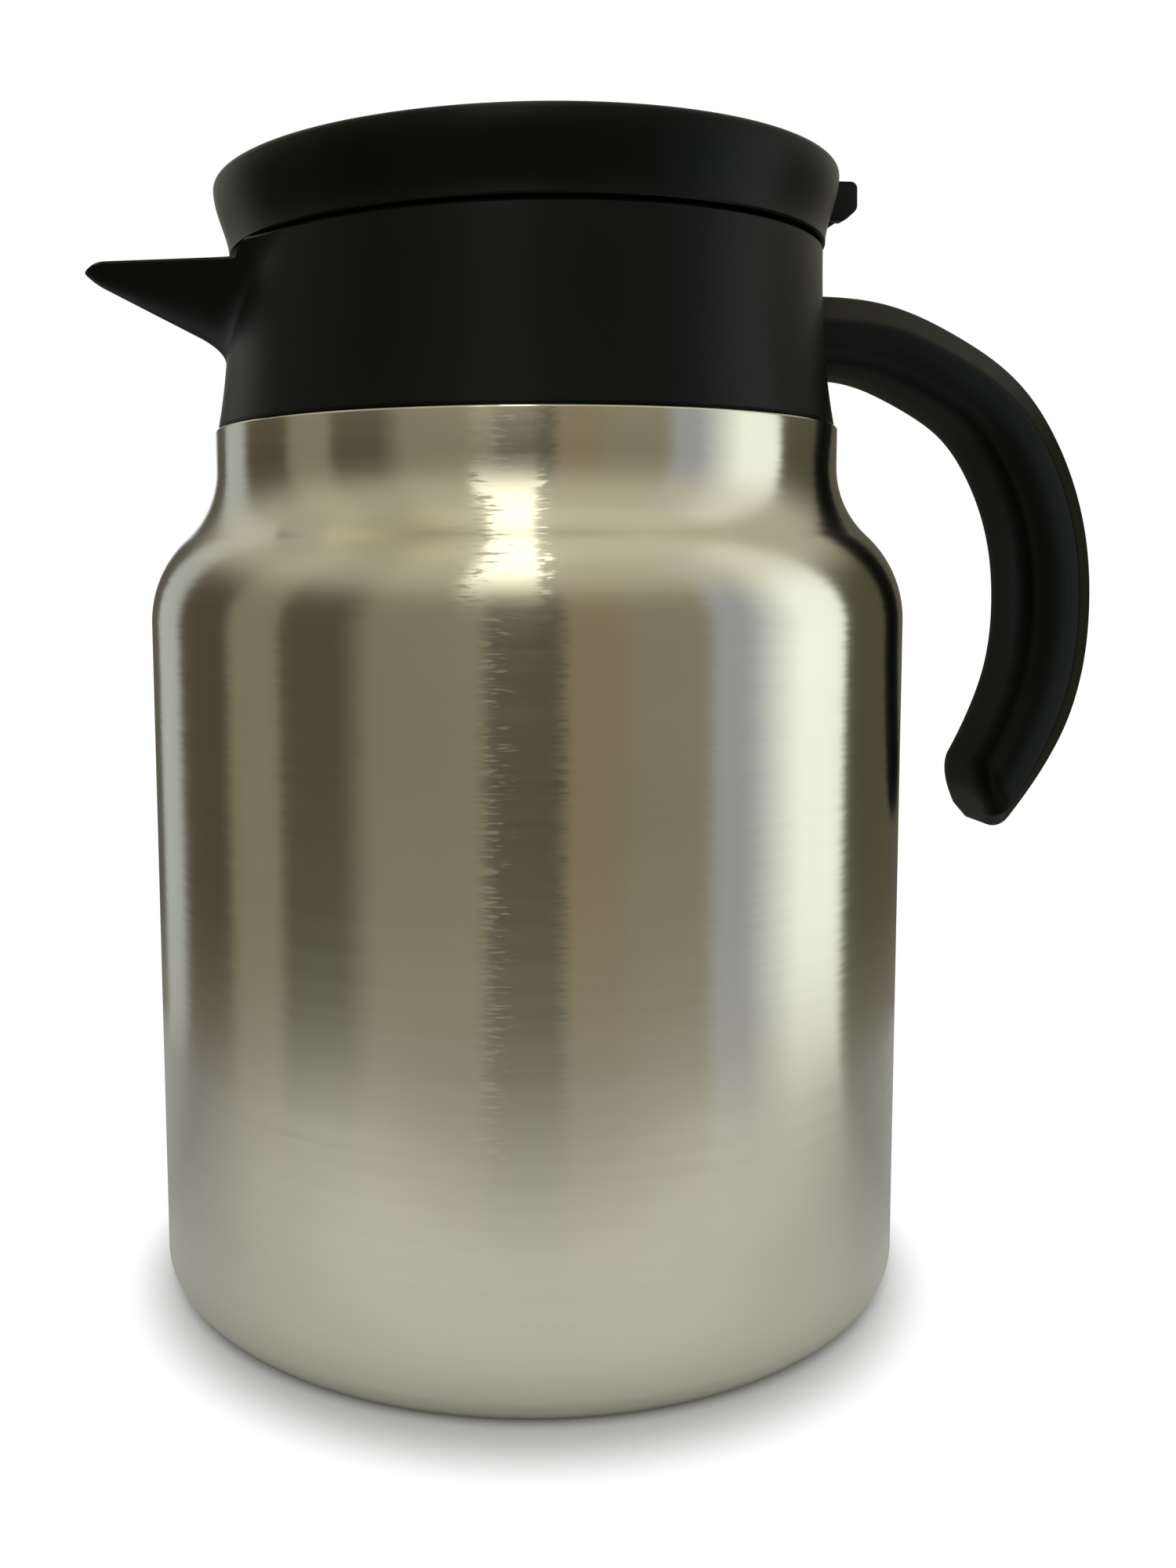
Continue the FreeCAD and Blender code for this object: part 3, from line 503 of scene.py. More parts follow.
outside = [(BASE_RIM_R, 0), (BODY_R, 0, FOOT_ROUND)] + shoulder(0)
outside += [(NECK_R, NECK_TOP_Z, NECK_EDGE), (SPIGOT_R, NECK_TOP_Z), (SPIGOT_R, SPIGOT_Z)]
inside = [(SPIGOT_R - SHEET, SPIGOT_Z), (SPIGOT_R - SHEET, NECK_TOP_Z - SHEET)]
inside += [(NECK_R - SHEET, NECK_TOP_Z - SHEET)] + shoulder(SHEET)[::-1]
inside += [(BODY_R - SHEET, SHEET, FOOT_ROUND - SHEET), (BASE_RIM_R + SHEET, SHEET)]
inside += [(BASE_RIM_R + SHEET, BASE_LIP_Z), (BASE_RIM_R, BASE_LIP_Z)]
steel_shell = turn_piece("steel_shell", rounded(outside + inside), shell_steel, SHELL_SIDES)
stands_for(steel_shell, "outer_shell", "jug")

# %% [markdown]
# ## Collar and beak as one skin
# On the real jug the collar and the beak are one moulding, and the flank of the beak melts into the
# collar. Two meshes joined by a boolean would meet in a hard line. So the skin is worked out in polar
# form: for each turn away from the spout and each height, how far out does the collar reach, and how far
# the beak? A soft maximum of the two gives the blend for free.

# %% How far the collar reaches
COLLAR_Z = 145.25
COLLAR_FOOT_R = 53.2
COLLAR_TOP_R = 50.9
COLLAR_WAIST = 2.6
RIM_Z = 174.0
WAIST_TOP_Z = RIM_Z + 2


def soft_max(first, second, reach):
    near = np.clip(1 - np.abs(first - second) / reach, 0, None)
    return np.maximum(first, second) + near ** 2 * reach / 4


def collar_reach(height):
    up = np.clip((height - COLLAR_Z) / (WAIST_TOP_Z - COLLAR_Z), 0, 1)
    return COLLAR_TOP_R + (COLLAR_FOOT_R - COLLAR_TOP_R) * (1 - up) ** COLLAR_WAIST


print("collar at its foot, mm:", collar_reach(COLLAR_Z))

# %% How far the beak reaches
BEAK_LENGTH = 23.7
BEAK_TIP = COLLAR_TOP_R + BEAK_LENGTH
BEAK_TOP_Z = 171.1
BEAK_RISE = 1.3
BEAK_DEPTH = 12.9
BEAK_TIP_DEPTH = 2.3
BEAK_HALF = 17.0
BEAK_TIP_HALF = 2.4
BEAK_LEAST = (0.5, 0.3)
BEAK_NOSE = 3.0
BEAK_BELLY = 1.7
NOSE_DROP = 1.2
NOSE_WALL = 1.1
FRONT = math.radians(60)
SEARCH_FROM = 5.0
HALVINGS = 40


def nose_cap(x, inset):
    """1 along the beak, falling to 0 at its tip as a quarter of an ellipse does."""
    tip = BEAK_TIP - NOSE_WALL * inset
    nose = np.clip((x - tip) / BEAK_NOSE + 1, 0, 1)
    return np.sqrt(np.clip(1 - nose ** 2, 1e-6, 1))


def beak_top(x):
    out = (x - COLLAR_TOP_R) / BEAK_LENGTH
    return BEAK_TOP_Z + BEAK_RISE * out - NOSE_DROP * (1 - nose_cap(x, 0.0))


def beak_section(x, inset):
    """Half width and depth of the beak at a distance from the axis, rounded off at the nose."""
    out = (x - COLLAR_TOP_R) / BEAK_LENGTH
    half = np.maximum(BEAK_HALF * (1 - out) + BEAK_TIP_HALF * out - inset, BEAK_LEAST[0])
    depth = np.maximum(BEAK_DEPTH * (1 - out) + BEAK_TIP_DEPTH * out - inset, BEAK_LEAST[1])
    cap = nose_cap(x, inset)
    return half * cap, depth * cap


def furthest(inside, shape, end):
    """The largest x for which inside(x) holds, found by halving the span again and again."""
    near, far = np.full(shape, SEARCH_FROM), np.full(shape, end)
    for _ in range(HALVINGS):
        x = (near + far) / 2
        near, far = np.where(inside(x), x, near), np.where(inside(x), far, x)
    return near


def beak_reach(turn, height, inset):
    """Distance from the axis to the beak's skin, for each turn and height."""
    front = np.abs(turn) < FRONT
    slope = np.tan(np.where(front, np.abs(turn), 0.1))

    def inside(x):
        half, depth = beak_section(x, inset)
        return depth * (1 - (x * slope / half) ** BEAK_BELLY) > beak_top(x) - height

    x = furthest(inside, np.broadcast(turn, height).shape, BEAK_TIP - NOSE_WALL * inset)
    return np.where(front, x / np.cos(np.where(front, turn, 0)), 0.0)


print("beak tip from the axis, mm:", round(BEAK_TIP, 1))

# %% [markdown]
# The rim lies level with the sloped lid and drops in a notch over the beak. The skin is then laid in
# rows: up the outside, over the rim, down the inside and back to the start. The columns stand close at
# the beak, where the shape changes fast, and wider apart elsewhere.

# %% Lay the skin
COLLAR_BORE_R = 47.9
COLLAR_SOCKET_R = 49.75
COLLAR_STEP_Z = 155.3
BEAK_WALL = 2.0
BEAK_BLEND = 5.0
RIM_SLOPE = math.radians(0.9)
RIM_EDGE = 0.4
RIM_BLEND = 0.8
NOTCH_HALF = 17.6
NOTCH_SLOPE = 1.0
NOTCH_OFF = 5
COLUMNS = ((0, 4, 22), (4, 34, 76), (34, 180, 64))
OUTSIDE_ROWS = 60
INSIDE_ROWS = 34


def rim_height(turn):
    """The rim's height: level with the sloped lid, lower in the notch over the beak, dipping at its nose."""
    plane = RIM_Z - COLLAR_TOP_R * np.cos(turn) * math.tan(RIM_SLOPE)
    slope = np.tan(np.minimum(np.abs(turn), FRONT))
    lip_x = furthest(lambda x: x * slope < beak_section(x, 0.0)[0], turn.shape, BEAK_TIP)
    aside = np.clip(COLLAR_TOP_R * np.abs(np.sin(turn)) - NOTCH_HALF, 0, None)
    notch = beak_top(lip_x) + aside * NOTCH_SLOPE
    notch = np.where(np.abs(turn) < FRONT, notch, plane + NOTCH_OFF)
    return -soft_max(-plane, -notch, RIM_BLEND)


half_round = np.radians(np.unique(np.concatenate([np.linspace(*span) for span in COLUMNS])))
turns = np.concatenate([-half_round[:0:-1], half_round[:-1]])
rim = rim_height(turns)
level = np.ones(turns.shape)


def outside_reach(height):
    return soft_max(collar_reach(height), beak_reach(turns, height, 0.0), BEAK_BLEND)


def inside_reach(height):
    return soft_max(COLLAR_BORE_R * level, beak_reach(turns, height, BEAK_WALL), RIM_BLEND)


rows = [(collar_reach(COLLAR_Z * level) - RIM_EDGE, COLLAR_Z * level)]
for share in np.linspace(0, 1, OUTSIDE_ROWS):
    height = (COLLAR_Z + RIM_EDGE) * (1 - share) + (rim - RIM_EDGE) * share
    rows.append((outside_reach(height), height))
rows.append((rows[-1][0] - RIM_EDGE, rim))
rows.append((inside_reach(rim - RIM_EDGE) + RIM_EDGE, rim))
for share in np.linspace(0, 1, INSIDE_ROWS):
    height = (rim - RIM_EDGE) * (1 - share) + COLLAR_STEP_Z * share
    rows.append((inside_reach(height), height))
rows.append((COLLAR_SOCKET_R * level, COLLAR_STEP_Z * level))
rows.append((COLLAR_SOCKET_R * level, COLLAR_Z * level))
skin = []
for reach, height in rows:
    skin += list(zip(-reach * np.cos(turns) * MM, reach * np.sin(turns) * MM, height * MM))
print("rows and columns of the skin:", len(rows), len(turns))

# %% [markdown]
# At the back a post stands on the collar and carries the hinge pin between the lid's two knuckles. It
# could be a cube and a cylinder joined, but a flat outline pushed sideways needs no boolean. Its edges
# are eased, and it becomes part of the collar's mesh.

# %% Helpers for meshes


def ring_faces(rings, count, closed):
    """Four-sided faces between rings of count points. A closed set also joins the last ring to the first."""
    faces = []
    for i in range(rings if closed else rings - 1):
        below, over = i * count, (i + 1) % rings * count
        for j in range(count):
            k = (j + 1) % count
            faces.append((below + j, below + k, over + k, over + j))
    return faces


def as_mesh(name, work):
    """A new mesh from a finished bmesh."""
    mesh = bpy.data.meshes.new(name)
    work.to_mesh(mesh)
    work.free()
    return mesh


def plastic_mesh(name, points, faces):
    mesh = bpy.data.meshes.new(name)
    mesh.from_pydata([tuple(map(float, p)) for p in points], [], faces)
    mesh.materials.append(black_plastic)
    return mesh


def lean_with_rim(mesh):
    """The lid and the hinge follow the slope of the rim."""
    pivot = Matrix.Translation((0, 0, RIM_Z * MM))
    mesh.transform(pivot @ Matrix.Rotation(-RIM_SLOPE, 4, "Y") @ pivot.inverted())
    return mesh


def pushed(side, start, end, ease):
    """A flat outline (x, height) pushed sideways from start to end, with eased edges."""
    work = bmesh.new()
    face = work.faces.new([work.verts.new((x * MM, start * MM, z * MM)) for x, z in side])
    made = bmesh.ops.extrude_face_region(work, geom=[face])
    moved = [item for item in made["geom"] if isinstance(item, bmesh.types.BMVert)]
    bmesh.ops.translate(work, verts=moved, vec=(0, (end - start) * MM, 0))
    bmesh.ops.recalc_face_normals(work, faces=work.faces)
    flat = [edge for edge in work.edges if abs(edge.verts[0].co.y - edge.verts[1].co.y) < 1e-7]
    bmesh.ops.bevel(work, geom=flat, offset=ease * MM, segments=3, profile=0.5, affect="EDGES")
    return lean_with_rim(as_mesh("pushed", work))


def joined(mesh, extras):
    """The mesh with others added to it, all in black plastic."""
    work = bmesh.new()
    for item in [mesh] + extras:
        work.from_mesh(item)
    for face in work.faces:
        face.material_index = 0
    work.to_mesh(mesh)
    work.free()
    mesh.materials.clear()
    mesh.materials.append(black_plastic)
    return mesh


print("mesh helpers: ring_faces, as_mesh, plastic_mesh, lean_with_rim, pushed, joined")

# %% Collar with its hinge post
PIN_X = 54.2
PIN_Z = 184.3
POST_R = 3.3
POST_ARC = range(-37, 163, 10)
POST_HALF = 5.5
POST_IN_X = 47.9
POST_OUT_X = 50.75
POST_LOW_Z = 171.0
POST_TOP_Z = 178.5
POST_EASE = 0.35
COLLAR_CREASE = math.radians(40)

arc = [math.radians(angle) for angle in POST_ARC]
post_side = [(POST_IN_X, POST_LOW_Z), (POST_OUT_X, POST_LOW_Z), (POST_OUT_X, POST_TOP_Z)]
post_side += [(PIN_X + POST_R * math.cos(a), PIN_Z + POST_R * math.sin(a)) for a in arc]
post_side += [(POST_IN_X, POST_TOP_Z)]
collar_mesh = plastic_mesh("collar_beak", skin, ring_faces(len(rows), len(turns), True))
joined(collar_mesh, [pushed(post_side, -POST_HALF, POST_HALF, POST_EASE)])
collar_beak = add_piece("collar_beak", tidy_mesh(collar_mesh, COLLAR_CREASE))
stands_for(collar_beak, "spout_collar", "jug")
print("collar faces:", len(collar_mesh.polygons))

# %% [markdown]
# ## The lid
# The lid is a shallow cap whose wall flares towards a crisp top edge, with a very slight crown. A scaled
# cylinder would have a straight wall and a flat top, so its outline is turned on the lathe.

# %% Turn the lid
LID_EDGE_Z = 174.6
LID_TOP_Z = 186.6
LID_EDGE_R = 51.0
LID_FLARE = 2.3
LID_ROUND = 1.1
LID_CROWN = 0.6
LID_WALL_R = 49.0
LID_UNDER_Z = 184.4
LID_EASE = 0.3
LID_SHIFT = 0.3
LID_SIDES = 256
WALL_STEPS = 15
EDGE_STEPS = 8
CROWN_STEPS = 11


def eased(share):
    """From 0 to 1 with a level start and end."""
    return share * share * (3 - 2 * share)


lid_side = [(LID_WALL_R, LID_EDGE_Z), (LID_EDGE_R - LID_EASE, LID_EDGE_Z)]
for share in np.linspace(0, 1, WALL_STEPS + 1):
    lid_side.append((LID_EDGE_R + LID_FLARE * eased(share),
                     LID_EDGE_Z + LID_EASE + (LID_TOP_Z - LID_ROUND - LID_EDGE_Z - LID_EASE) * share))
top_r = LID_EDGE_R + LID_FLARE - LID_ROUND
for turn in np.radians(np.linspace(0, 90, EDGE_STEPS + 1)[1:]):
    lid_side.append((top_r + LID_ROUND * math.cos(turn), LID_TOP_Z - LID_ROUND + LID_ROUND * math.sin(turn)))
for share in np.linspace(1, 0, CROWN_STEPS + 1)[1:]:
    lid_side.append((top_r * share, LID_TOP_Z + LID_CROWN * (1 - share ** 2)))
lid_side += [(0.0, LID_UNDER_Z), (LID_WALL_R, LID_UNDER_Z)]
lid = turn_piece("lid_cap_turned", lid_side, black_plastic, LID_SIDES)
lid.data.transform(Matrix.Translation((LID_SHIFT * MM, 0, 0)))

# %% [markdown]
# At the back a slot lets the hinge post through, and two knuckles beside it hold the pin. The slot is a
# box taken out by a boolean, which is exact here since the box crosses only the lid's wall and edge. The
# knuckles are flat outlines pushed sideways, as the post is.

# %% Cut the slot and add the knuckles
SLOT_HALF = 5.9
SLOT_X = 49.2
SLOT_OUT_X = 60
SLOT_LOW_Z = 170
SLOT_TOP_Z = 192
KNUCKLE_OUT_HALF = 9.5
KNUCKLE_EASE = 0.3
KNUCKLE = ((49.4, 187.3), (57.3, 187.3, 1.2), (57.3, 182.6, 1.4), (55.2, 180.8, 0.8), (49.4, 180.8))


def cut_away(piece, low, high):
    """The piece with a box taken out of it, given two corners in millimetres."""
    size = [(b - a) * MM for a, b in zip(low, high)]
    middle = [(a + b) / 2 * MM for a, b in zip(low, high)]
    box = bmesh.new()
    bmesh.ops.create_cube(box, size=1.0, matrix=Matrix.Translation(middle) @ Matrix.Diagonal((*size, 1)))
    tool = add_piece("cutter", as_mesh("cutter", box))
    modifier = piece.modifiers.new("slot", "BOOLEAN")
    modifier.operation = "DIFFERENCE"
    modifier.solver = "EXACT"
    modifier.object = tool
    mesh = plain_mesh(piece)
    piece.modifiers.clear()
    piece.data = mesh
    bpy.data.objects.remove(tool)


cut_away(lid, (SLOT_X, -SLOT_HALF, SLOT_LOW_Z), (SLOT_OUT_X, SLOT_HALF, SLOT_TOP_Z))
lean_with_rim(lid.data)
knuckle_side = [tuple(p) for p in rounded(KNUCKLE)]
knuckles = [pushed(knuckle_side, *span, KNUCKLE_EASE)
            for span in ((SLOT_HALF, KNUCKLE_OUT_HALF), (-KNUCKLE_OUT_HALF, -SLOT_HALF))]
tidy_mesh(joined(lid.data, knuckles))
stands_for(lid, "lid_cap", "lid")
print("lid faces:", len(lid.data.polygons))

# %% [markdown]
# ## The handle
# The handle is an open hook: it leaves the collar level, bends down in one sweep and stops short of the
# body. A section is carried along a smooth path. A curve object with a bevel could do that too, but its
# end is always square to the path, and this one is cut at a slant.

# %% Handle path
HANDLE_POINTS = ((48.5, 162.6), (62.9, 161.6), (74.9, 156.9), (85.4, 150.0), (92.6, 140.2), (97.6, 126.4),
                 (98.8, 115.0), (97.4, 100.8), (93.6, 90.1), (86.4, 77.2), (81.5, 70.7), (77.0, 64.9))
PATH_STEPS = 600


def smooth_path(knots, steps):
    """A curve without kinks through the knots: a natural cubic spline."""
    knots = np.array(knots)
    gaps = np.linalg.norm(np.diff(knots, axis=0), axis=1)
    at = np.concatenate([[0], np.cumsum(gaps)])
    last = len(at) - 1
    system, wanted = np.eye(last + 1), np.zeros((last + 1, 2))
    for i in range(1, last):
        system[i, i - 1:i + 2] = gaps[i - 1] / 6, (gaps[i - 1] + gaps[i]) / 3, gaps[i] / 6
        wanted[i] = (knots[i + 1] - knots[i]) / gaps[i] - (knots[i] - knots[i - 1]) / gaps[i - 1]
    bend = np.linalg.solve(system, wanted)
    along = np.linspace(0, at[-1], steps)
    i = np.clip(np.searchsorted(at, along, side="right") - 1, 0, last - 1)
    gap = gaps[i][:, None]
    rest = (at[i + 1] - along)[:, None] / gap
    done = 1 - rest
    curve = rest * knots[i] + done * knots[i + 1]
    return along, curve + ((rest ** 3 - rest) * bend[i] + (done ** 3 - done) * bend[i + 1]) * gap ** 2 / 6


path_at, path = smooth_path(HANDLE_POINTS, PATH_STEPS)
ahead = np.gradient(path, path_at, axis=0)
ahead /= np.linalg.norm(ahead, axis=1)[:, None]
outward = np.stack([-ahead[:, 1], ahead[:, 0]], axis=1)
print("handle path length, mm:", round(float(path_at[-1]), 1))

# %% [markdown]
# The section has broad bevels on its outer edges, which catch the light from above, and soft inner edges
# for the fingers. Shell and cover meet in a hairline seam. The inner side is a rounded oblong: an ellipse
# with a power above 2.

# %% Handle sections
HALF_THICK = 6.55
INNER_THICK = 7.1
INNER_POWER = 2.7
INNER_STEPS = 48
HALF_WIDE = 11.0
BEVEL_U = 1.6
BEVEL_V = 6.2
BEVEL_SOFT = 1.6
SEAM_GAP = 0.015

near_half = [(SEAM_GAP, -HALF_WIDE), (BEVEL_U, -HALF_WIDE, BEVEL_SOFT), (HALF_THICK, -BEVEL_V, BEVEL_SOFT)]
far_half = [(u, -v, *soft) for u, v, *soft in reversed(near_half)]
shell_section = rounded(near_half + far_half)
cover_section = []
for step in range(INNER_STEPS + 1):
    turn = math.pi * step / INNER_STEPS
    round_v = math.copysign(abs(math.cos(turn)) ** (2 / INNER_POWER), math.cos(turn))
    cover_section.append((-SEAM_GAP - INNER_THICK * math.sin(turn) ** (2 / INNER_POWER), HALF_WIDE * round_v))
print("points of the two sections:", len(shell_section), len(cover_section))

# %% [markdown]
# The free end is cut by a steep plane that faces the body. Every line along the handle is followed until
# it meets this plane, so the rings slant gently towards it. The outer side draws in on the way, and the
# rim of the cut is eased all round.

# %% Taper and free end of the handle
TAPER = 2.4
TAPER_Z = 97.0
TAPER_RUN = 30.0
END_POINT = np.array((87.0, 72.0))
END_LEAN = math.radians(22)
END_FACING = np.array((-math.cos(END_LEAN), -math.sin(END_LEAN)))


def tapered(along, u):
    """The outer side draws in towards the free end."""
    start = np.interp(-TAPER_Z, -path[:, 1], path_at)
    share = np.clip((along - start) / TAPER_RUN, 0, 1)
    return u - np.maximum(u, 0) / HALF_THICK * TAPER * eased(share)


def end_along(u):
    """How far along the path each line outward by u meets the end plane."""
    back = int(np.argmax(path[:, 0]))
    found = []
    for value in u:
        line = path[back:] + tapered(path_at[back:], value)[:, None] * outward[back:]
        found.append(np.interp(0.0, (line - END_POINT) @ END_FACING, path_at[back:]))
    return np.array(found)


print("middle line ends, mm along:", end_along([0.0]).round(1))

# %% Sweep the handle
END_EASE = 4.0
SIDE_EASE = 1.5
RING_STEP = 1.2
SECTION_STEP = 0.8
EASE_RINGS = 10
FLAT_RINGS = 6
HANDLE_CREASE = math.radians(45)


def on_handle(along, u):
    """The point at a distance along the path and a distance outward from it."""
    spot = np.stack([np.interp(along, path_at, path[:, k]) for k in (0, 1)], axis=-1)
    aim = np.stack([np.interp(along, path_at, outward[:, k]) for k in (0, 1)], axis=-1)
    return spot + tapered(along, u)[..., None] * aim


def ring_places(u, v):
    """For each ring, how far along, outward and aside its points are: straight run, eased rim, flat end."""
    stop = end_along(u) - END_EASE
    rings = [(stop * share, u, v) for share in np.linspace(0, 1, int(path_at[-1] / RING_STEP))]
    for turn in np.radians(np.linspace(0, 90, EASE_RINGS + 1)[1:]):
        close = END_EASE * (1 - math.cos(turn))
        tight_u, tight_v = u * (1 - close / HALF_THICK), v * (1 - SIDE_EASE * close / HALF_WIDE)
        rings.append((end_along(tight_u) - END_EASE * (1 - math.sin(turn)), tight_u, tight_v))
    middle_u, middle_v = tight_u.mean(), tight_v.mean()
    for share in np.linspace(1, 0, FLAT_RINGS + 1)[1:-1]:
        flat_u = middle_u + (tight_u - middle_u) * share
        rings.append((end_along(flat_u), flat_u, middle_v + (tight_v - middle_v) * share))
    return rings


def swept(name, outline):
    section = np.array([tuple(p) for p in outline])
    dense = []
    for here, there in zip(section, np.roll(section, -1, axis=0)):
        parts = max(1, int(np.linalg.norm(there - here) / SECTION_STEP))
        dense += [here + (there - here) * k / parts for k in range(parts)]
    spots = []
    for along, u, v in ring_places(*np.array(dense).T):
        x, z = on_handle(along, u).T
        spots.append(np.stack([x, v, z], axis=-1))
    count = len(dense)
    points = list(np.concatenate(spots) * MM)
    faces = ring_faces(len(spots), count, False)
    for ring, first in ((spots[0], 0), (spots[-1], (len(spots) - 1) * count)):
        points.append(ring.mean(axis=0) * MM)
        faces += [(first + j, first + (j + 1) % count, len(points) - 1) for j in range(count)]
    mesh = plastic_mesh(name, points, faces)
    print(name, "faces:", len(mesh.polygons))
    return add_piece(name, tidy_mesh(mesh, HANDLE_CREASE))


stands_for(swept("handle_outer", shell_section), "handle_shell", "jug")
stands_for(swept("handle_inner", cover_section), "handle_cover", "jug")

# %% [markdown]
# ## The seal under the lid and the pad under the base
# The seal is a soft ring with a rounded lip that rests on the funnel's seat. The pad fills the hollow of
# the base and has an eased edge. Their solids have sharp corners, which moulded rubber rarely has, so
# both are turned with rounded ones.

# %% Turn the seal and the pad
SEAL = ((37.9, 159.45, 0.2), (39.3, 159.45, 0.2), (39.3, 157.3, 0.4), (41.7, 157.3, 1.0),
        (41.7, 160.4, 1.0), (37.9, 160.4, 0.2))
PAD = ((0.0, 0.0), (54.0, 0.0, 0.6), (54.0, 1.6, 0.3), (0.0, 1.6))

seal_ring = turn_piece("seal_ring", rounded(SEAL), FINISHES["silicone"])
lean_with_rim(seal_ring.data)
stands_for(seal_ring, "lid_seal", "lid")
foot_pad = turn_piece("foot_pad", rounded(PAD), FINISHES["pad_rubber"])
stands_for(foot_pad, "base_pad", "jug")

# %% [markdown]
# ## The set
# A pale floor and a white world. The camera sees both as white, and the metal sees the world as white.
# In reflections the floor has painted light: it glows brightest just in front of the jug and dimmer to
# the sides, behind it and further out. Close to the jug the floor stays a matt surface, so it keeps the
# contact shadow. A plain white plane would turn grey, since it only shows as much light as falls on it.

# %% Helpers for the set
CAMERA_TURN = math.radians(10)
TO_CAMERA = Vector((-math.sin(CAMERA_TURN), -math.cos(CAMERA_TURN), 0))
TO_RIGHT = Vector((math.cos(CAMERA_TURN), -math.sin(CAMERA_TURN), 0))


def bare(store, name):
    """A new material or world with an empty tree."""
    item = store.new(name)
    item.use_nodes = True
    item.node_tree.nodes.clear()
    return item


def seen_rays(owner):
    """1 for rays of the camera, of mirror-like reflections and through glass."""
    rays = add(owner, "ShaderNodeLightPath")
    total = rays.outputs["Is Camera Ray"]
    for name in ("Is Glossy Ray", "Is Transmission Ray"):
        total = calc(owner, "MAXIMUM", total, rays.outputs[name])
    return total


def blended(owner, share, first, second):
    """Two shaders mixed by a share."""
    node = add(owner, "ShaderNodeMixShader")
    for source, target in zip((share, first.outputs[0], second.outputs[0]), node.inputs):
        put(owner, source, target)
    return node.outputs[0]


print("towards the camera:", [round(value, 3) for value in TO_CAMERA])

# %% Floor
FLOOR_R = 4.0
FLOOR_SIDES = 96
FLOOR_COLOUR = (0.69, 0.705, 0.735, 1)
SHADOW_SHIFT = 0.008
SHADOW_FADE = (0.0575, 0.0728)
SEEN_GLOW = 1.06
# Painted light: in reflections the floor glows brightest just in front of the jug and dimmer to the sides,
# behind it and further out.
PAINTED_FLOOR_GLOW = ((0.4, 0.94, -0.01, 0.1), (0.95, 0.4, 0.11, 0.175))


def floor_finish():
    finish = bare(bpy.data.materials, "pale_floor")
    place = add(finish, "ShaderNodeTexCoord").outputs["Object"]
    matt = add(finish, "ShaderNodeBsdfDiffuse", {"Color": FLOOR_COLOUR})
    front = add(finish, "ShaderNodeVectorMath", {"Vector": place}, operation="DOT_PRODUCT")
    front.inputs[1].default_value = TO_CAMERA
    # Painted light and shade on the floor, as the metal sees it.
    mirrored = [spread(finish, front.outputs["Value"], *glow) for glow in PAINTED_FLOOR_GLOW]
    glow = add(finish, "ShaderNodeMix")
    ends = [item for item in glow.inputs if item.type == "VALUE" and item.name in ("A", "B")]
    ends[0].default_value = SEEN_GLOW
    put(finish, calc(finish, "MINIMUM", *mirrored), ends[1])
    put(finish, add(finish, "ShaderNodeLightPath").outputs["Is Glossy Ray"], glow.inputs["Factor"])
    white = add(finish, "ShaderNodeEmission", {"Strength": glow.outputs[0]})
    away = add(finish, "ShaderNodeVectorMath", {"Vector": place}, operation="DISTANCE")
    away.inputs[1].default_value = SHADOW_SHIFT * TO_CAMERA
    past_shadow = spread(finish, away.outputs["Value"], 0, 1, *SHADOW_FADE, "SMOOTHSTEP")
    share = calc(finish, "MULTIPLY", past_shadow, seen_rays(finish))
    add(finish, "ShaderNodeOutputMaterial", {"Surface": blended(finish, share, matt, white)})
    return finish


disc = bmesh.new()
bmesh.ops.create_circle(disc, cap_ends=True, segments=FLOOR_SIDES, radius=FLOOR_R)
floor_mesh = as_mesh("floor", disc)
floor_mesh.materials.append(floor_finish())
add_piece("floor", floor_mesh)
print("floor finish:", floor_mesh.materials[0].name)

# %% White world
AMBIENT_COLOUR = (1, 0.985, 0.95, 1)
AMBIENT_GLOW = 0.8

world = bare(bpy.data.worlds, "white_world")
scene.world = world
ambient = add(world, "ShaderNodeBackground", {"Color": AMBIENT_COLOUR, "Strength": AMBIENT_GLOW})
white_sky = add(world, "ShaderNodeBackground", {"Color": (1, 1, 1, 1)})
add(world, "ShaderNodeOutputWorld", {"Surface": blended(world, seen_rays(world), ambient, white_sky)})
print("world:", world.name)

# %% [markdown]
# ## What the metal mirrors
# Metal looks like what stands around it. A picture of a room could be wrapped round the scene, but a few
# plain panels are easier to place: a round wall of light and dark panels stands near the jug, like the
# walls, window and doorways of a room, and a ceiling closes it. Only reflections see them: they light
# nothing else and the camera looks through them. Each panel has a start and an end angle, counted from
# the camera's side to the right, one of five brightnesses and a tint.

# %% Panels of the wall and the ceiling
PALE = (1.0, 0.95, 0.8)
WARM = (1.0, 0.91, 0.7)
BROWN = (1.0, 0.8, 0.58)
OLIVE = (1.0, 0.96, 0.62)
CREAM = (0.94, 0.99, 1.0)
BLUE = (0.8, 0.84, 1.0)
DIM = 0.12
LOW = 0.36
MID = 0.65
HIGH = 0.95
BRIGHT = 1.7
PANELS = ((-180, -164, DIM, WARM), (-160, -142, HIGH, CREAM), (-138, -124, DIM, WARM),
          (-120, -106, MID, CREAM), (-101, -81, DIM, BROWN), (-76, -62, LOW, WARM), (-59, -43, DIM, OLIVE),
          (-35, -11, LOW, WARM), (-7.5, 6.5, DIM, WARM), (9.5, 20, LOW, BROWN), (25, 41, LOW, WARM),
          (45, 53, MID, BLUE), (69, 85.5, BRIGHT, CREAM), (87.5, 112, DIM, OLIVE), (118, 176, DIM, WARM))
CEILING = ((-180, -130, MID, WARM), (-104, -92, HIGH, WARM), (-82, -56, MID, WARM), (-42, -36, HIGH, WARM),
           (-34, 84, HIGH, PALE), (92, 102, MID, WARM), (112, 120, HIGH, WARM), (136, 180, MID, WARM))
WALL_GLOW = 2.0


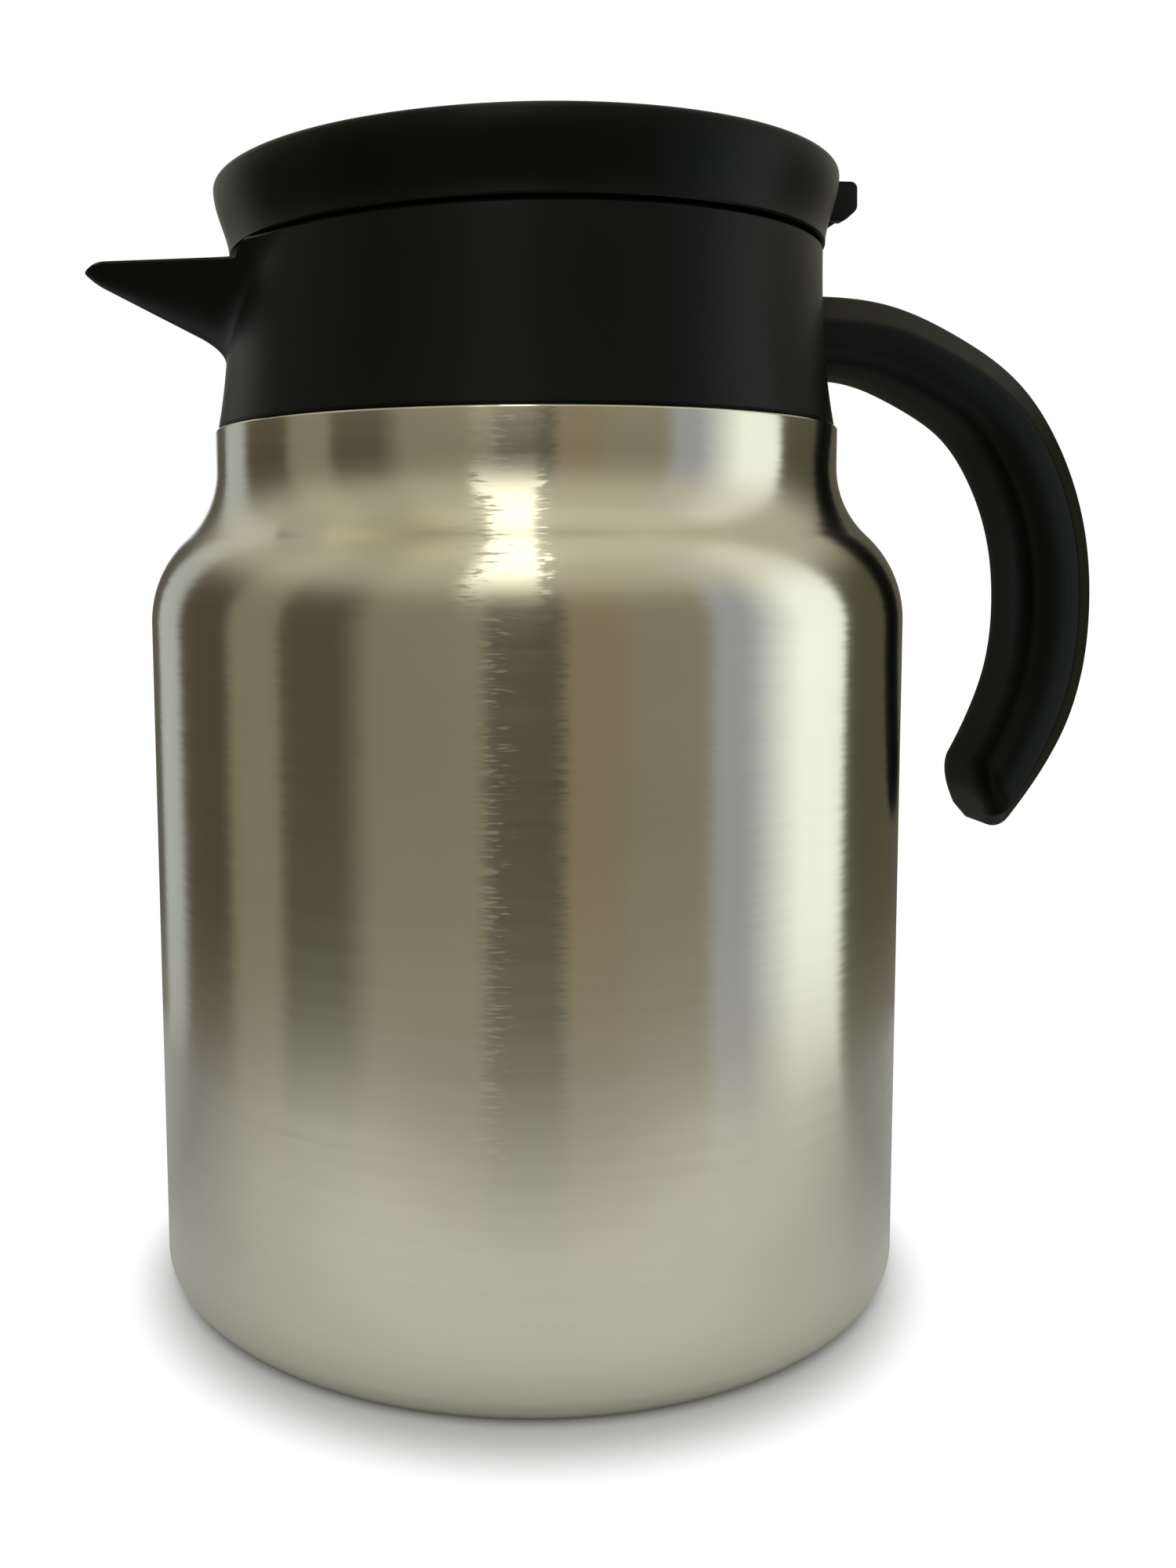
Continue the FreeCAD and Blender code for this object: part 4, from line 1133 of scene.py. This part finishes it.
def panel_finish(name, panels, fades=()):
    """A glow of panels round the axis, soft where they don't meet. A fade mixes in an even tone by height."""
    finish = bare(bpy.data.materials, name)
    turn, height = about_axis(finish)
    from_camera = calc(finish, "ADD", turn, math.pi / 2 + CAMERA_TURN)
    wrapped = calc(finish, "WRAP", from_camera, math.pi, -math.pi)
    ramp = add(finish, "ShaderNodeValToRGB")
    edges = [(angle, glow, tint) for start, end, glow, tint in panels for angle in (start, end)]
    stops = ramp.color_ramp.elements
    while len(stops) < len(edges):
        stops.new(1.0)
    for stop, (angle, glow, tint) in zip(stops, edges):
        stop.position = (angle + 180) / 360
        stop.color = (*(c * glow / WALL_GLOW for c in tint), 1)
    put(finish, spread(finish, wrapped, 0, 1, -math.pi, math.pi), ramp.inputs["Fac"])
    colour = ramp.outputs["Color"]
    for start, end, share, glow in fades:
        even = tuple(c * glow / WALL_GLOW for c in PALE)
        colour = tinted(finish, spread(finish, height, 0, share, start, end, "SMOOTHSTEP"), colour, even)
    lit = add(finish, "ShaderNodeEmission", {"Color": colour, "Strength": WALL_GLOW})
    add(finish, "ShaderNodeOutputMaterial", {"Surface": lit.outputs[0]})
    return finish


print("panels of wall and ceiling:", len(PANELS), len(CEILING))

# %% Mirror wall and ceiling
WALL_R = 0.168
WALL_HEIGHT = 0.33
WALL_FOOT = 0.001
WALL_SIDES = 180
FADES = ((0.16, 0.23, 0.64, 0.98), (0.04, 0.0, 0.3, 0.5))


def only_mirrored(name, shape, finish):
    """A set piece that only reflections see."""
    mesh = as_mesh(name, shape)
    mesh.materials.append(finish)
    thing = add_piece(name, mesh)
    for rays in ("camera", "diffuse", "shadow", "transmission"):
        setattr(thing, "visible_" + rays, False)
    print(name, "faces:", len(mesh.polygons))


ring = bmesh.new()
bmesh.ops.create_cone(ring, cap_ends=False, segments=WALL_SIDES, radius1=WALL_R, radius2=WALL_R,
                      depth=WALL_HEIGHT, matrix=Matrix.Translation((0, 0, WALL_HEIGHT / 2 + WALL_FOOT)))
only_mirrored("mirror_wall", ring, panel_finish("mirror_wall", PANELS, FADES))
cover = bmesh.new()
bmesh.ops.create_circle(cover, cap_ends=True, segments=WALL_SIDES, radius=WALL_R,
                        matrix=Matrix.Translation((0, 0, WALL_HEIGHT + WALL_FOOT)))
only_mirrored("mirror_ceiling", cover, panel_finish("mirror_ceiling", CEILING))

# %% [markdown]
# A bright strip climbs the wall and runs on under the ceiling, narrower as it comes closer: the window
# with the ceiling lit above it. It makes the broad glint that runs over the shoulder, just left of the
# middle. A panel of the wall would stop at the ceiling and break the glint in two. At its foot the strip
# fades out, so the black collar doesn't catch it.

# %% Window strip
WINDOW_GLOW = 2.6
WINDOW_COLOUR = (1, 1, 0.9, 1)
WINDOW_FADE = (0.17, 0.235)
WINDOW = ((-0.046, 0.009, 0.150, 0.168), (-0.043, 0.009, 0.150, 0.25), (-0.039, 0.009, 0.145, 0.322),
          (-0.033, 0.0085, 0.1, 0.327), (-0.028, 0.007, 0.055, 0.327), (-0.026, 0.007, 0.02, 0.327))

strip = bmesh.new()
edges = [[strip.verts.new(TO_RIGHT * side + TO_CAMERA * ahead + Vector((0, 0, z))) for side in (left, right)]
         for left, right, ahead, z in WINDOW]
for lower, upper in zip(edges, edges[1:]):
    strip.faces.new((lower[0], lower[1], upper[1], upper[0]))
shine = bare(bpy.data.materials, "window_strip")
lit = add(shine, "ShaderNodeEmission", {"Color": WINDOW_COLOUR, "Strength": WINDOW_GLOW})
clear = add(shine, "ShaderNodeBsdfTransparent")
fade = spread(shine, about_axis(shine)[1], 0, 1, *WINDOW_FADE)
add(shine, "ShaderNodeOutputMaterial", {"Surface": blended(shine, fade, clear, lit)})
only_mirrored("window_strip", strip, shine)

# %% [markdown]
# ## Lamps
# One large soft lamp overhead makes the contact shadow. A second, weaker one behind keeps the back from
# going dead. A sun lamp would give a hard shadow, which the soft light of a room doesn't.

# %% Soft lamps
LAMP_COLOUR = (1.0, 0.98, 0.9)
LAMP_AIM = Vector((0, 0, 0.1))


def soft_lamp(name, place, wide, tall, power):
    lamp = bpy.data.lights.new(name, "AREA")
    lamp.shape = "RECTANGLE"
    lamp.size = wide
    lamp.size_y = tall
    lamp.energy = power
    lamp.color = LAMP_COLOUR
    holder = bpy.data.objects.new(name, lamp)
    holder.location = place
    holder.rotation_euler = (LAMP_AIM - Vector(place)).to_track_quat("-Z", "Y").to_euler()
    scene.collection.objects.link(holder)
    print(name, "power:", power)


soft_lamp("overhead_lamp", (-0.075, -0.29, 0.66), wide=0.13, tall=0.7, power=0.6)
soft_lamp("back_lamp", (0.3, 0.5, 0.8), wide=0.5, tall=0.5, power=1.2)

# %% [markdown]
# ## The camera
# The photograph was taken close by, at the height of the shoulder and a little downwards, with the handle
# turned slightly away. It could be matched by eye, but a pinhole camera fitted to the lid, collar and
# base gives these numbers. The frame was cropped off centre, which is the lens shift.

# %% Place the camera
CAMERA_AWAY = 0.2635
CAMERA_Z = 0.1238
PITCH = math.radians(5.54)
YAW = math.radians(0.69)
ROLL = math.radians(0.28)
FOCAL_PX = 1880.0
FRAME_PX = 2000.0
SENSOR = 36.0
SHIFT_X = 0.0505
SHIFT_Y = -0.0545
CLIP_START = 0.01

lens = bpy.data.cameras.new("camera")
lens.sensor_width = SENSOR
lens.lens = SENSOR * FOCAL_PX / FRAME_PX
lens.shift_x = SHIFT_X
lens.shift_y = SHIFT_Y
lens.clip_start = CLIP_START
camera = bpy.data.objects.new("camera", lens)
place = TO_CAMERA * CAMERA_AWAY + Vector((0, 0, CAMERA_Z))
aim = Matrix.Rotation(YAW - CAMERA_TURN, 4, "Z") @ Matrix.Rotation(math.pi / 2 - PITCH, 4, "X")
camera.matrix_world = Matrix.Translation(place) @ aim @ Matrix.Rotation(-ROLL, 4, "Z")
scene.collection.objects.link(camera)
scene.camera = camera
print("camera at:", [round(value, 3) for value in place])
